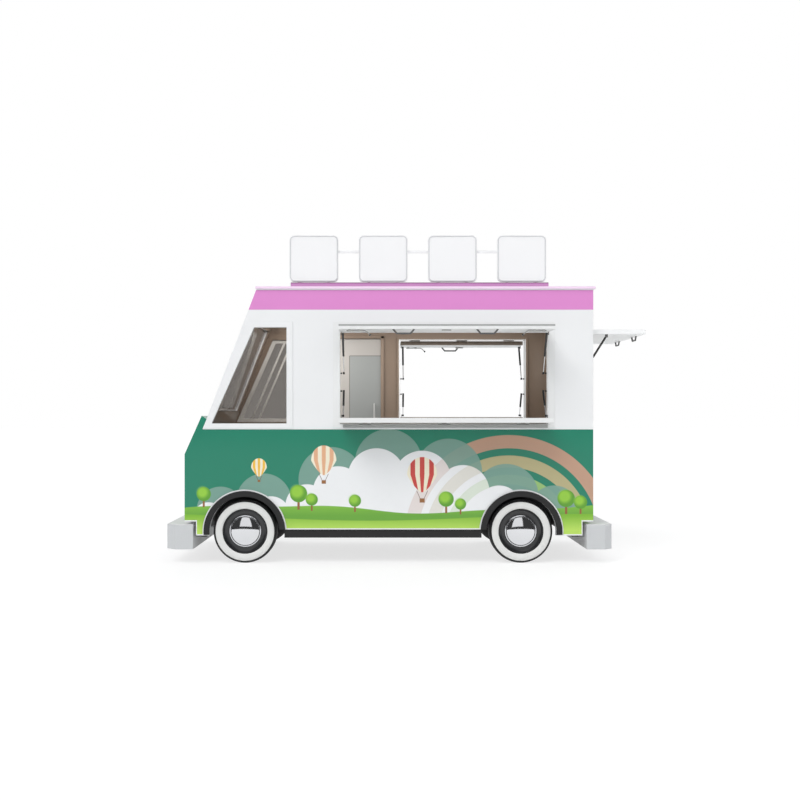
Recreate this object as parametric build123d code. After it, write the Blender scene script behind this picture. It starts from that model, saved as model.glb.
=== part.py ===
from build123d import *
import math
import os

os.makedirs("parts", exist_ok=True)

# A small electric food truck. Millimetres, +Z up, the front towards -X and the left side towards -Y.
# Lengths along the truck are measured from a line near its middle, and every piece is moved by
# -MID_X at the end, so that the origin lies on the ground at the middle of the whole outline.

# Driving dimensions of the box body
HALF_WIDTH = 825
WALL = 60
INNER = HALF_WIDTH - WALL
REAR_X = 1744
NOSE_X = -1662
NOSE_BREAK_Z = 911
COWL_X, COWL_Z = -1520, 1230
WINDSCREEN_FOOT_X, WINDSCREEN_FOOT_Z = -1472, 1222
WINDSCREEN_SLOPE = 0.384
WAIST_Z = 1117
BAND_Z = 2115
BAND_TOP_Z = 2279
ROOF_TOP_Z = 2308
CORNICE_Z = 2288
CORNICE_OVERHANG = 17
FLOOR_LOW_Z, FLOOR_TOP_Z = 420, 460
SILL_Z = 283
VALANCE_Z = 233
NOTCH_Z = 350
FRONT_NOTCH_X, REAR_NOTCH_X = -1567, 1655

# Running gear
WHEEL_R = 265
TYRE_WIDTH = 155
WHEEL_Y = 730
KINGPIN_Y = 700
FRONT_AXLE_X, REAR_AXLE_X = -1162, 1145
RIM_R = 183
CAP_R = 134
ARCH_R = 292
TRIM_R = 340
TRIM_PROUD = 18
SPINDLE_R = 18
RUNNING_GAP = 0.5

# Bumpers
BUMPER_LOW_Z, BUMPER_TOP_Z = 120, 325
BUMPER_HALF_WIDTH = 845
FRONT_BUMPER = (-1817, -1589)
REAR_BUMPER = (1686, 1905)

# Serving openings. Each is drawn on the left side, where outwards is -Y, and turned to its wall.
AXIS_OUT = 10
FLANGE = 6
REVEAL = 30
REVEAL_DEPTH = 80
FLAP_NEAR, FLAP_FAR = 6, 45
FLAP_START = 8
UPPER_AXIS_Z = 1966
LOWER_AXIS_Z = 1168
CLEAR_TOP_Z = UPPER_AXIS_Z + 1
BARREL_R = 7
STRUT_INSET = 30
JAMB_DEPTH = 60
UPPER_PIN = (130, 62)
LOWER_PIN = (80, 62)
UPPER_JAMB_Z = 1587
LOWER_JAMB_Z = 1438
#           name     turn  wall        low x  high x  clear low z  upper flap  lower flap  handles
STATIONS = [
    ("left", 0, HALF_WIDTH, -367, 1366, LOWER_AXIS_Z - 1, 430, 350, (0.302, 0.687)),
    ("right", 180, HALF_WIDTH, -1371, -157, LOWER_AXIS_Z - 1, 430, 350, (0.575,)),
    ("rear", 90, REAR_X, -690, 690, 1499, 458, None, (0.25, 0.75)),
]
REAR_FLAP_X = REAR_X + AXIS_OUT + 458
MID_X = (FRONT_BUMPER[0] + REAR_FLAP_X) / 2

# Cab side window, in side view: foot, head and the upright rear edge
CAB_WINDOW = [(-1436, 1167), (-1082, 1967), (-812, 1967), (-812, 1167)]
CAB_FRAME = [(-1511, 1123), (-1137, 2017), (-760, 2017), (-760, 1123)]

# Entry door in the right wall
DOOR_X = (-650, -20)
DOOR_Z = (440, 1990)
DOOR_GAP = 6
DOOR_AXIS_X, DOOR_AXIS_Y = DOOR_X[0], HALF_WIDTH + AXIS_OUT

# Sign on the roof
SIGN_Y = -675
SIGN_RAIL = (-788, 1389, 2355)
SIGN_PANEL = (412, 30, 392)
SIGN_PANEL_X = [-593, -7, 579, 1165]
SIGN_LOW_Z = 2364


def slab(x, y, z):
    """A box from its limits along each axis."""
    size = [high - low for low, high in (x, y, z)]
    centre = [(high + low) / 2 for low, high in (x, y, z)]
    return Pos(*centre) * Box(*size)


def side_plate(points, y_low, y_high):
    """A plate of the outline given in side view, as (x, z), between two distances across."""
    face = make_face(Polyline([(x, y_low, z) for x, z in points], close=True))
    return extrude(face, amount=y_high - y_low, dir=(0, 1, 0))


def cross_cylinder(x, z, radius, y_low, y_high):
    """A cylinder across the truck."""
    middle = Pos(x, (y_low + y_high) / 2, z) * Rot(90, 0, 0)
    return middle * Cylinder(radius, y_high - y_low)


def bar(start, end, radius):
    """A round bar from one point to another."""
    start, end = Vector(*start), Vector(*end)
    plane = Plane(origin=start, z_dir=(end - start).normalized())
    return extrude(plane * Circle(radius), amount=(end - start).length)


def windscreen_x(z):
    """Front face of the white windscreen pillars at a height."""
    return WINDSCREEN_FOOT_X + WINDSCREEN_SLOPE * (z - WINDSCREEN_FOOT_Z)


def both_sides(piece):
    """The piece and its mirror image across the middle of the truck, as solids that don't touch."""
    return Compound(children=[piece, mirror(piece, about=Plane.XZ)])


def keep(name, piece):
    """Move a finished piece to the origin of the whole truck and write it."""
    moved = Pos(-MID_X, 0, 0) * piece
    solids = moved.solids()
    shape = solids[0] if len(solids) == 1 else Compound(children=list(solids))
    shape.label = name
    export_step(shape, f"parts/{name}.step")
    print(f"{name:26s} solids {len(solids)}  volume {sum(s.volume for s in solids) / 1e6:9.2f} l")


# Lower side walls: green up to the waist and along the cowl, cut for the arches and bumpers
LOWER_OUTLINE = [
    (NOSE_X, NOTCH_Z), (NOSE_X, NOSE_BREAK_Z), (COWL_X, COWL_Z),
    (windscreen_x(1204), 1204), (windscreen_x(WAIST_Z), WAIST_Z), (REAR_X, WAIST_Z),
    (REAR_X, NOTCH_Z), (REAR_NOTCH_X, NOTCH_Z), (REAR_NOTCH_X, VALANCE_Z), (REAR_AXLE_X, VALANCE_Z),
    (REAR_AXLE_X, SILL_Z), (FRONT_AXLE_X, SILL_Z), (FRONT_AXLE_X, VALANCE_Z),
    (FRONT_NOTCH_X, VALANCE_Z), (FRONT_NOTCH_X, NOTCH_Z),
]


def lower_wall():
    wall = side_plate(LOWER_OUTLINE, -HALF_WIDTH, -INNER)
    for axle_x in (FRONT_AXLE_X, REAR_AXLE_X):
        wall -= cross_cylinder(axle_x, WHEEL_R, ARCH_R, -HALF_WIDTH - 5, -INNER + 5)
    return wall


# Upper side walls: white from the waist to the coloured band
UPPER_OUTLINE = [
    (windscreen_x(WAIST_Z), WAIST_Z), (windscreen_x(BAND_Z), BAND_Z), (REAR_X, BAND_Z), (REAR_X, WAIST_Z),
]


def wall_cut(low_x, high_x, low_z):
    """The hole in a wall that a serving frame fills, seen in the left wall."""
    heights = (low_z - REVEAL, CLEAR_TOP_Z + REVEAL)
    return slab((low_x - REVEAL, high_x + REVEAL), (-HALF_WIDTH - 5, -INNER + 5), heights)


def upper_wall():
    wall = side_plate(UPPER_OUTLINE, -HALF_WIDTH, -INNER)
    return wall - side_plate(CAB_WINDOW, -HALF_WIDTH - 5, -INNER + 5)


doorway = slab(
    (DOOR_X[0] - DOOR_GAP, DOOR_X[1] + DOOR_GAP), (INNER - 5, HALF_WIDTH + 5),
    (DOOR_Z[0] - DOOR_GAP, DOOR_Z[1] + DOOR_GAP),
)
left, right, rear = STATIONS
keep("left_lower_wall", lower_wall())
keep("right_lower_wall", mirror(lower_wall(), about=Plane.XZ) - doorway)
keep("left_upper_wall", upper_wall() - wall_cut(left[3], left[4], left[5]))
right_cut = Rot(0, 0, right[1]) * wall_cut(right[3], right[4], right[5])
keep("right_upper_wall", mirror(upper_wall(), about=Plane.XZ) - right_cut - doorway)

# Nose panel: upright below, sloping above, with two round recesses for the headlamps
NOSE_THICKNESS = 50
SCREEN_THICKNESS = 45
LAMP_R = 75
LAMP_Y, LAMP_Z = 600, 700
LAMP_DEPTH = 30
nose_inner_x = NOSE_X + NOSE_THICKNESS
NOSE_OUTLINE = [
    (NOSE_X, NOTCH_Z), (NOSE_X, NOSE_BREAK_Z), (COWL_X, COWL_Z), (windscreen_x(1204), 1204),
    (windscreen_x(1204) + SCREEN_THICKNESS, 1204), (windscreen_x(1204) + SCREEN_THICKNESS - 12, 1172),
    (nose_inner_x, NOSE_BREAK_Z - 10), (nose_inner_x, NOTCH_Z),
]
nose = side_plate(NOSE_OUTLINE, -INNER, INNER)
lamps = []
for y in (-LAMP_Y, LAMP_Y):
    nose -= bar((NOSE_X - 1, y, LAMP_Z), (NOSE_X + LAMP_DEPTH, y, LAMP_Z), LAMP_R)
    lamps.append(bar((NOSE_X + 2, y, LAMP_Z), (NOSE_X + LAMP_DEPTH, y, LAMP_Z), LAMP_R - 1))
keep("nose_panel", nose)

# Windscreen: a sloping white frame from the cowl to the band, with one pane in it
SCREEN_HALF_WIDTH = 680
SCREEN_GLASS_Z = (1275, 2040)


def sloping(low_z, high_z, front, back, half_width):
    """A sloping plate parallel to the windscreen, its faces a distance behind the pillar line."""
    points = [
        (windscreen_x(low_z) + front, low_z), (windscreen_x(high_z) + front, high_z),
        (windscreen_x(high_z) + back, high_z), (windscreen_x(low_z) + back, low_z),
    ]
    return side_plate(points, -half_width, half_width)


screen_frame = sloping(1204, BAND_Z, 0, SCREEN_THICKNESS, INNER)
screen_frame -= sloping(*SCREEN_GLASS_Z, -10, SCREEN_THICKNESS + 10, SCREEN_HALF_WIDTH)
keep("windscreen_frame", screen_frame)

# Cab side windows: raised frame, flush pane
cab_frame = side_plate(CAB_FRAME, -HALF_WIDTH - FLANGE, -HALF_WIDTH)
cab_frame -= side_plate(CAB_WINDOW, -HALF_WIDTH - FLANGE - 5, -HALF_WIDTH + 5)
keep("cab_window_frames", both_sides(cab_frame))
GLASS = 6
GLASS_INSET = 12
cab_pane = side_plate(CAB_WINDOW, -HALF_WIDTH + GLASS_INSET, -HALF_WIDTH + GLASS_INSET + GLASS)
screen_pane = sloping(*SCREEN_GLASS_Z, 8, 8 + GLASS, SCREEN_HALF_WIDTH)
keep("cab_glass", Compound(children=[cab_pane, mirror(cab_pane, about=Plane.XZ), screen_pane]))

# Rear wall, with recesses for the tail lamps and the socket of the power inlet
TAIL_LAMP = (70, 150)
TAIL_LAMP_Y, TAIL_LAMP_Z = 690, 760
INLET_Y, INLET_Z = -430, 640
INLET_R, INLET_BODY_R = 27, 42
rear_wall = slab((REAR_X - WALL, REAR_X), (-INNER, INNER), (NOTCH_Z, BAND_Z))
hatch_z = (rear[5] - REVEAL, CLEAR_TOP_Z + REVEAL)
hatch = slab((rear[3] - REVEAL, rear[4] + REVEAL), (-REAR_X - 5, -REAR_X + WALL + 5), hatch_z)
rear_wall -= Rot(0, 0, rear[1]) * hatch
for y in (-TAIL_LAMP_Y, TAIL_LAMP_Y):
    low, high = y - TAIL_LAMP[0] / 2, y + TAIL_LAMP[0] / 2
    z_low, z_high = TAIL_LAMP_Z - TAIL_LAMP[1] / 2, TAIL_LAMP_Z + TAIL_LAMP[1] / 2
    rear_wall -= slab((REAR_X - LAMP_DEPTH, REAR_X + 1), (low, high), (z_low, z_high))
    lamps.append(slab((REAR_X - LAMP_DEPTH, REAR_X - 2), (low + 1, high - 1), (z_low + 1, z_high - 1)))
rear_wall -= bar((REAR_X - WALL - 1, INLET_Y, INLET_Z), (REAR_X + 1, INLET_Y, INLET_Z), INLET_BODY_R)
keep("rear_wall", rear_wall)
keep("lamps", Compound(children=lamps))

inlet = bar((REAR_X - WALL, INLET_Y, INLET_Z), (REAR_X + 14, INLET_Y, INLET_Z), INLET_BODY_R)
inlet += slab((REAR_X, REAR_X + 8), (INLET_Y - 55, INLET_Y + 55), (INLET_Z - 55, INLET_Z + 60))
inlet -= bar((REAR_X - 40, INLET_Y, INLET_Z), (REAR_X + 20, INLET_Y, INLET_Z), INLET_R)
keep("power_inlet", inlet)

# Coloured band round the top of the walls, and the roof with its cornice
BAND_OUTLINE = [
    (windscreen_x(BAND_Z), BAND_Z), (windscreen_x(BAND_TOP_Z), BAND_TOP_Z),
    (REAR_X, BAND_TOP_Z), (REAR_X, BAND_Z),
]
band = side_plate(BAND_OUTLINE, -HALF_WIDTH, HALF_WIDTH)
BAND_HOLLOW = [
    (windscreen_x(BAND_Z - 5) + WALL, BAND_Z - 5), (windscreen_x(BAND_TOP_Z + 5) + WALL, BAND_TOP_Z + 5),
    (REAR_X - WALL, BAND_TOP_Z + 5), (REAR_X - WALL, BAND_Z - 5),
]
band -= side_plate(BAND_HOLLOW, -INNER, INNER)
keep("roof_band", band)

roof_front_x = windscreen_x(BAND_TOP_Z)
LINING_Z = 2230
roof = slab((roof_front_x + WALL + 1, REAR_X - WALL), (-INNER, INNER), (LINING_Z, BAND_TOP_Z))
roof += slab((roof_front_x + 6, REAR_X), (-HALF_WIDTH, HALF_WIDTH), (BAND_TOP_Z, CORNICE_Z))
roof += slab(
    (roof_front_x - 4, REAR_X + CORNICE_OVERHANG),
    (-HALF_WIDTH - CORNICE_OVERHANG, HALF_WIDTH + CORNICE_OVERHANG), (CORNICE_Z, ROOF_TOP_Z),
)
keep("roof", roof)

# Sign: a rail on the roof with blank panels on short feet and a bar behind them
SIGN_RAIL_HALF_DEPTH = 30
SIGN_BAR_X = (-560, 1140)
SIGN_BAR_Z = (2612, 2632)
SIGN_CORNER_R = 40
SIGN_FOOT_PLACE = 120
rail_low, rail_high, rail_top = SIGN_RAIL
panel_width, panel_depth, panel_height = SIGN_PANEL
rail_y = (SIGN_Y - SIGN_RAIL_HALF_DEPTH, SIGN_Y + SIGN_RAIL_HALF_DEPTH)
sign = slab((rail_low, rail_high), rail_y, (ROOF_TOP_Z, rail_top))
back_y = SIGN_Y + panel_depth / 2
sign += slab(SIGN_BAR_X, (back_y, back_y + 20), SIGN_BAR_Z)
for x in SIGN_PANEL_X:
    middle_z = SIGN_LOW_Z + panel_height / 2
    panel = Pos(x, SIGN_Y, middle_z) * Box(panel_width, panel_depth, panel_height)
    sign += fillet(panel.edges().filter_by(Axis.Y), SIGN_CORNER_R)
    for foot_x in (x - SIGN_FOOT_PLACE, x + SIGN_FOOT_PLACE):
        foot_z = (rail_top - 5, SIGN_LOW_Z + 5)
        sign += slab((foot_x - 12, foot_x + 12), (SIGN_Y - 10, SIGN_Y + 10), foot_z)
keep("roof_sign", sign)

# Chassis: two rails with cross-members, and the brackets that hold the bumpers
RAIL_Y = (370, 430)
RAIL_Z = (330, FLOOR_LOW_Z)
BRACKET_LOW_Z = 180
CROSS_MEMBER = 50
CROSS_MEMBER_X = (-1580, -700, 560, 1560)
chassis = slab((nose_inner_x, REAR_X - WALL), RAIL_Y, RAIL_Z)
front_bracket_x = (FRONT_BUMPER[1], FRONT_BUMPER[1] + CROSS_MEMBER)
chassis += slab(front_bracket_x, RAIL_Y, (BRACKET_LOW_Z, RAIL_Z[1]))
chassis += slab((REAR_BUMPER[0] - CROSS_MEMBER, REAR_BUMPER[0]), RAIL_Y, (BRACKET_LOW_Z, NOTCH_Z))
chassis += mirror(chassis, about=Plane.XZ)
for x in CROSS_MEMBER_X:
    chassis += slab((x, x + CROSS_MEMBER), (-RAIL_Y[0], RAIL_Y[0]), (RAIL_Z[0] + 20, RAIL_Z[1]))
keep("chassis_frame", chassis)

# Bumpers: full-width boxes with chamfered outer corners. Each has a threaded socket for a towing
# eye, on the right at the front and on the left at the back.
TOW_Y, TOW_Z = 520, 225
TOW_R, TOW_DEPTH = 10, 70
FRONT_CHAMFER, REAR_CHAMFER = -80, 63


def bumper(inner_x, outer_x, chamfer_x, tow_y):
    """One bumper from its inner and outer face. The chamfer has the sign of the outward way."""
    points = [
        (inner_x, -BUMPER_HALF_WIDTH), (outer_x - chamfer_x, -BUMPER_HALF_WIDTH),
        (outer_x, -BUMPER_HALF_WIDTH + abs(chamfer_x)), (outer_x, BUMPER_HALF_WIDTH - abs(chamfer_x)),
        (outer_x - chamfer_x, BUMPER_HALF_WIDTH), (inner_x, BUMPER_HALF_WIDTH),
    ]
    face = make_face(Polyline([(x, y, BUMPER_LOW_Z) for x, y in points], close=True))
    box = extrude(face, amount=BUMPER_TOP_Z - BUMPER_LOW_Z, dir=(0, 0, 1))
    outwards = 1 if outer_x > inner_x else -1
    mouth = (outer_x + outwards, tow_y, TOW_Z)
    return box - bar(mouth, (outer_x - outwards * TOW_DEPTH, tow_y, TOW_Z), TOW_R)


front_bumper = bumper(FRONT_BUMPER[1], FRONT_BUMPER[0], FRONT_CHAMFER, TOW_Y)
rear_bumper = bumper(REAR_BUMPER[0], REAR_BUMPER[1], REAR_CHAMFER, -TOW_Y)
keep("bumpers", Compound(children=[front_bumper, rear_bumper]))

# Floor, cut round the wheel wells
floor = slab((nose_inner_x, REAR_X - WALL), (-INNER, INNER), (FLOOR_LOW_Z, FLOOR_TOP_Z))
WELL_WALL = 15
WELL_INNER_Y = {FRONT_AXLE_X: 500, REAR_AXLE_X: 600}
wells = []
for axle_x, well_y in WELL_INNER_Y.items():
    for side in (-1, 1):
        low, high = sorted((side * well_y, side * INNER))
        cut_low, cut_high = sorted((side * (well_y - 1), side * (INNER + 5)))
        floor -= cross_cylinder(axle_x, WHEEL_R, ARCH_R + WELL_WALL + 1, cut_low, cut_high)
        well = cross_cylinder(axle_x, WHEEL_R, ARCH_R + WELL_WALL, low, high)
        hollow_low, hollow_high = sorted((side * (well_y + WELL_WALL), side * (INNER + 5)))
        well -= cross_cylinder(axle_x, WHEEL_R, ARCH_R, hollow_low, hollow_high)
        wells.append(well & slab((axle_x - 400, axle_x + 400), (-800, 800), (300, 700)))
keep("floor", floor)
keep("wheel_wells", Compound(children=wells))

# Arch trims: proud half rings, cut level with the walls beside them
trims = []
for axle_x, front_z, back_z in ((FRONT_AXLE_X, 240, SILL_Z), (REAR_AXLE_X, SILL_Z, 240)):
    trim = cross_cylinder(axle_x, WHEEL_R, TRIM_R, -HALF_WIDTH - TRIM_PROUD, -HALF_WIDTH)
    trim -= cross_cylinder(axle_x, WHEEL_R, ARCH_R, -HALF_WIDTH - TRIM_PROUD - 5, -HALF_WIDTH + 5)
    trim -= slab((axle_x - 400, axle_x), (-900, -800), (-100, front_z))
    trim -= slab((axle_x, axle_x + 400), (-900, -800), (-100, back_z))
    trims += [trim, mirror(trim, about=Plane.XZ)]
keep("wheel_arch_trims", Compound(children=trims))

# Skirts between the arches
SKIRT_LOW_Z = 212
SKIRT_Y = (-800, -775)
SKIRT_FROM_AXLE = 330
skirt_x = (FRONT_AXLE_X + SKIRT_FROM_AXLE, REAR_AXLE_X - SKIRT_FROM_AXLE)
skirt = slab(skirt_x, SKIRT_Y, (SKIRT_LOW_Z, SILL_Z))
keep("side_skirts", both_sides(skirt))

# Battery box under the floor, between the chassis rails
BATTERY_X, BATTERY_Y, BATTERY_Z = (-560, 480), (-360, 360), (235, FLOOR_LOW_Z)
keep("battery_box", slab(BATTERY_X, BATTERY_Y, BATTERY_Z))

# Front axle beam with kingpin eyes, and rear axle tube with spindles, each on two leaf springs
BEAM = 25
EYE_R = 25
KINGPIN_R = 12


def leaf_springs(axle_x, seat_z):
    springs = slab((axle_x - 350, axle_x + 350), RAIL_Y, (seat_z, seat_z + 12))
    for end in (-1, 1):
        hanger_x = axle_x + end * 335
        springs += slab((hanger_x - 15, hanger_x + 15), RAIL_Y, (seat_z + 12, RAIL_Z[0]))
    return springs + mirror(springs, about=Plane.XZ)


beam_x = (FRONT_AXLE_X - BEAM, FRONT_AXLE_X + BEAM)
beam_z = (WHEEL_R - BEAM, WHEEL_R + BEAM)
front_axle = slab(beam_x, (-KINGPIN_Y + 15, KINGPIN_Y - 15), beam_z)
for side in (-1, 1):
    eye = Pos(FRONT_AXLE_X, side * KINGPIN_Y, WHEEL_R)
    front_axle += eye * Cylinder(EYE_R, 2 * BEAM)
    front_axle -= eye * Cylinder(KINGPIN_R + RUNNING_GAP, 2 * BEAM + 2)
front_axle += leaf_springs(FRONT_AXLE_X, WHEEL_R + BEAM)
keep("front_axle", front_axle)

SPINDLE_END = 783
TUBE_R, TUBE_END = 35, 690
DIFFERENTIAL_R = 85
rear_axle = cross_cylinder(REAR_AXLE_X, WHEEL_R, TUBE_R, -TUBE_END, TUBE_END)
rear_axle += cross_cylinder(REAR_AXLE_X, WHEEL_R, SPINDLE_R, -SPINDLE_END, SPINDLE_END)
rear_axle += Pos(REAR_AXLE_X, 0, WHEEL_R) * Sphere(DIFFERENTIAL_R)
rear_axle += leaf_springs(REAR_AXLE_X, WHEEL_R + TUBE_R - 8)
keep("rear_axle", rear_axle)

# Steering knuckles: two ears on the kingpin, a web and the wheel spindle
EAR_GAP = 2
EAR = 12


def knuckle(side):
    low, high = WHEEL_R - BEAM - EAR_GAP, WHEEL_R + BEAM + EAR_GAP
    piece = Pos(FRONT_AXLE_X, side * KINGPIN_Y, WHEEL_R) * Cylinder(KINGPIN_R, high - low + 2 * EAR)
    for z in (low - EAR / 2, high + EAR / 2):
        piece += Pos(FRONT_AXLE_X, side * KINGPIN_Y, z) * Cylinder(22, EAR)
        near, far = sorted((side * KINGPIN_Y, side * (KINGPIN_Y + 42)))
        piece += slab((FRONT_AXLE_X - 20, FRONT_AXLE_X + 20), (near, far), (z - EAR / 2, z + EAR / 2))
    near, far = sorted((side * (KINGPIN_Y + 30), side * (KINGPIN_Y + 42)))
    piece += slab((FRONT_AXLE_X - 20, FRONT_AXLE_X + 20), (near, far), (low - EAR, high + EAR))
    near, far = sorted((side * (KINGPIN_Y + 35), side * SPINDLE_END))
    return piece + cross_cylinder(FRONT_AXLE_X, WHEEL_R, SPINDLE_R, near, far)


keep("left_knuckle", knuckle(-1))
keep("right_knuckle", knuckle(1))


# Wheels: a tyre, and a disc with its rim, hub and domed cap
def wheel_place(axle_x, side):
    """Where a wheel goes: its own axis, outwards, is turned from +Z to the side."""
    return Pos(axle_x, side * WHEEL_Y, WHEEL_R) * Rot(-90 * side, 0, 0)


def turned(points):
    """A round piece from its half section, as (radius, distance along its axis)."""
    return revolve(make_face(Polyline([(r, 0, z) for r, z in points], close=True)), axis=Axis.Z)


# Each tyre is a ring of flat facets, and its hole's flats lie on the round rim
TYRE_SIDES = 72
TYRE_HOLE_R = RIM_R / math.cos(math.pi / TYRE_SIDES)
TYRE_SECTION = [
    (208, -77.5), (243, -76), (WHEEL_R, -52), (WHEEL_R, 52), (243, 76), (208, 77.5),
    (TYRE_HOLE_R, 66), (TYRE_HOLE_R, -66),
]


def faceted_ring(section, sides):
    """A closed ring of flat facets from its section, as (radius, distance outwards)."""
    turns = [2 * math.pi * side / sides for side in range(sides)] + [0]
    faces = []
    for (near_r, near_z), (far_r, far_z) in zip(section, section[1:] + section[:1]):
        for start, end in zip(turns, turns[1:]):
            corners = [(near_r, start, near_z), (near_r, end, near_z)]
            corners += [(far_r, end, far_z), (far_r, start, far_z)]
            points = [(r * math.cos(turn), r * math.sin(turn), z) for r, turn, z in corners]
            faces.append(Face(Wire.make_polygon(points)))
    return Solid(Shell(faces))


tyre = faceted_ring(TYRE_SECTION, TYRE_SIDES)
HUB_R = 42
BORE_R = SPINDLE_R + RUNNING_GAP
DISC_SECTION = [
    (0, 60), (BORE_R, 60), (BORE_R, 15), (HUB_R, 15), (HUB_R, 32), (RIM_R - 12, 32), (RIM_R - 12, -66),
    (RIM_R, -66), (RIM_R, 66), (RIM_R - 8, 66), (RIM_R - 16, 42), (CAP_R, 42), (CAP_R - 4, 52),
    (104, 66), (60, 77), (0, 81),
]
disc = turned(DISC_SECTION)
for axle, axle_x in (("front", FRONT_AXLE_X), ("rear", REAR_AXLE_X)):
    for side_name, side in (("left", -1), ("right", 1)):
        keep(f"{axle}_{side_name}_tyre", wheel_place(axle_x, side) * tyre)
        keep(f"{axle}_{side_name}_disc", wheel_place(axle_x, side) * disc)

# Cab: dashboard, driver's seat and steering wheel, all below the window line
DASH_OUTLINE = [(-1590, 780), (-1450, 1130), (-1290, 1080), (-1270, 980), (-1330, 900), (-1540, 780)]
keep("dashboard", side_plate(DASH_OUTLINE, -INNER, INNER))
SEAT_Y = -340
CUSHION_X, CUSHION_Z = (-1000, -560), (700, 790)
BACK_X, BACK_TOP_Z = (-610, -520), 1140
seat = slab(CUSHION_X, (SEAT_Y - 230, SEAT_Y + 230), CUSHION_Z)
seat += slab(BACK_X, (SEAT_Y - 220, SEAT_Y + 220), (CUSHION_Z[1] - 10, BACK_TOP_Z))
seat += slab((-960, -600), (SEAT_Y - 140, SEAT_Y + 140), (FLOOR_TOP_Z, CUSHION_Z[0]))
keep("driver_seat", seat)
STEERING_R, STEERING_RIM_R = 165, 14
STEERING_TILT = -58
wheel_plane = Pos(-1190, SEAT_Y, 1015) * Rot(0, STEERING_TILT, 0)
rim_section = []
for step in range(8):
    angle = math.radians(45 * step)
    rim_section.append((STEERING_R + STEERING_RIM_R * math.cos(angle), STEERING_RIM_R * math.sin(angle)))
spoke = 2 * STEERING_R - 10
steering = wheel_plane * turned(rim_section)
steering += wheel_plane * (Cylinder(36, 24) + Box(spoke, 26, 12) + Box(26, spoke, 12))
steering += bar((-1195, SEAT_Y, 1012), (-1285, SEAT_Y, 956), 22)
keep("steering_wheel", steering - side_plate(DASH_OUTLINE, -INNER, INNER))

# Worktops along both side walls, on upright panels
WORKTOP_Z = (860, 895)
WORKTOP_Y = 340
UPRIGHT = 20
#            low x  high x  side  uprights at
WORKTOPS = [
    (-330, 1340, -1, (-330, 200, 745)),
    (160, 1340, 1, (160, 745)),
]
worktops = []
for low_x, high_x, side, uprights in WORKTOPS:
    near, far = sorted((side * (INNER - 1), side * WORKTOP_Y))
    top = slab((low_x, high_x), (near, far), WORKTOP_Z)
    for x in uprights:
        top += slab((x, x + UPRIGHT), (near, far), (FLOOR_TOP_Z, WORKTOP_Z[1]))
    worktops.append(top)
keep("worktops", Compound(children=worktops))


# Serving openings: a frame in the wall, flaps on it and the gas struts that hold them
FLANGE_BELOW, FLANGE_ABOVE, FLANGE_BESIDE = 38, 47, 58
FLANGE_OPENED = 9
LEDGE_DEPTH = 30
KNUCKLE_OUT, KNUCKLE_LENGTH = 51, 30
LEAF_HEIGHT = 32
HINGE_PIN_R = 3


def hinge_places(low_x, high_x):
    span = high_x - low_x
    return [low_x + span * share for share in (0.12, 0.5, 0.88)]


def serving_frame(wall, low_x, high_x, low_z, lower_flap):
    """Reveal through the wall, flange on its face, hinge barrels and the studs of the struts."""
    face_y = -wall
    lining_z = (low_z - REVEAL, CLEAR_TOP_Z + REVEAL)
    lining = slab((low_x - REVEAL, high_x + REVEAL), (face_y, face_y + REVEAL_DEPTH), lining_z)
    flange_low = low_z - FLANGE_BELOW
    flange_x = (low_x - FLANGE_BESIDE, high_x + FLANGE_BESIDE)
    flange = slab(flange_x, (face_y - FLANGE, face_y), (flange_low, CLEAR_TOP_Z + FLANGE_ABOVE))
    opened_low = low_z - (FLANGE_OPENED if lower_flap else 0)
    opened = (opened_low, CLEAR_TOP_Z + FLANGE_OPENED)
    hole = slab((low_x, high_x), (face_y - FLANGE - 5, face_y), opened)
    through = slab((low_x, high_x), (face_y - 5, face_y + REVEAL_DEPTH + 5), (low_z, CLEAR_TOP_Z))
    frame = (lining + flange) - hole - through
    ledge_z = (flange_low + 2, low_z - FLANGE_OPENED)
    frame += slab((low_x + 27, high_x - 6), (face_y - LEDGE_DEPTH, face_y), ledge_z)
    axis_y = face_y - AXIS_OUT
    leaf_y = (face_y - FLANGE - 3, face_y - FLANGE + 1)
    rows = [(UPPER_AXIS_Z, 1)] + ([(LOWER_AXIS_Z, -1)] if lower_flap else [])
    for axis_z, up in rows:
        leaf_z = sorted((axis_z, axis_z + up * LEAF_HEIGHT))
        for x in hinge_places(low_x, high_x):
            for start in (x - KNUCKLE_OUT, x + KNUCKLE_OUT - KNUCKLE_LENGTH):
                end = start + KNUCKLE_LENGTH
                frame += bar((start, axis_y, axis_z), (end, axis_y, axis_z), BARREL_R)
                frame += slab((start, end), leaf_y, leaf_z)
            frame += bar((x - 30, axis_y, axis_z), (x + 30, axis_y, axis_z), HINGE_PIN_R)
    stud_rows = [UPPER_JAMB_Z] + ([LOWER_JAMB_Z] if lower_flap else [])
    stud_y = face_y + JAMB_DEPTH
    for z in stud_rows:
        for x, inward in ((low_x, 1), (high_x, -1)):
            frame += bar((x - inward * 5, stud_y, z), (x + inward * 12, stud_y, z), 5)
            frame += Pos(x + inward * 11, stud_y, z) * Sphere(7)
    return frame


GRIP_R = 7
GRIP_HALF, GRIP_FOOT = 55, 85
GRIP_DROP = 34
GRIP_FROM_EDGE = 22
PIN_R = 4


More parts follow.
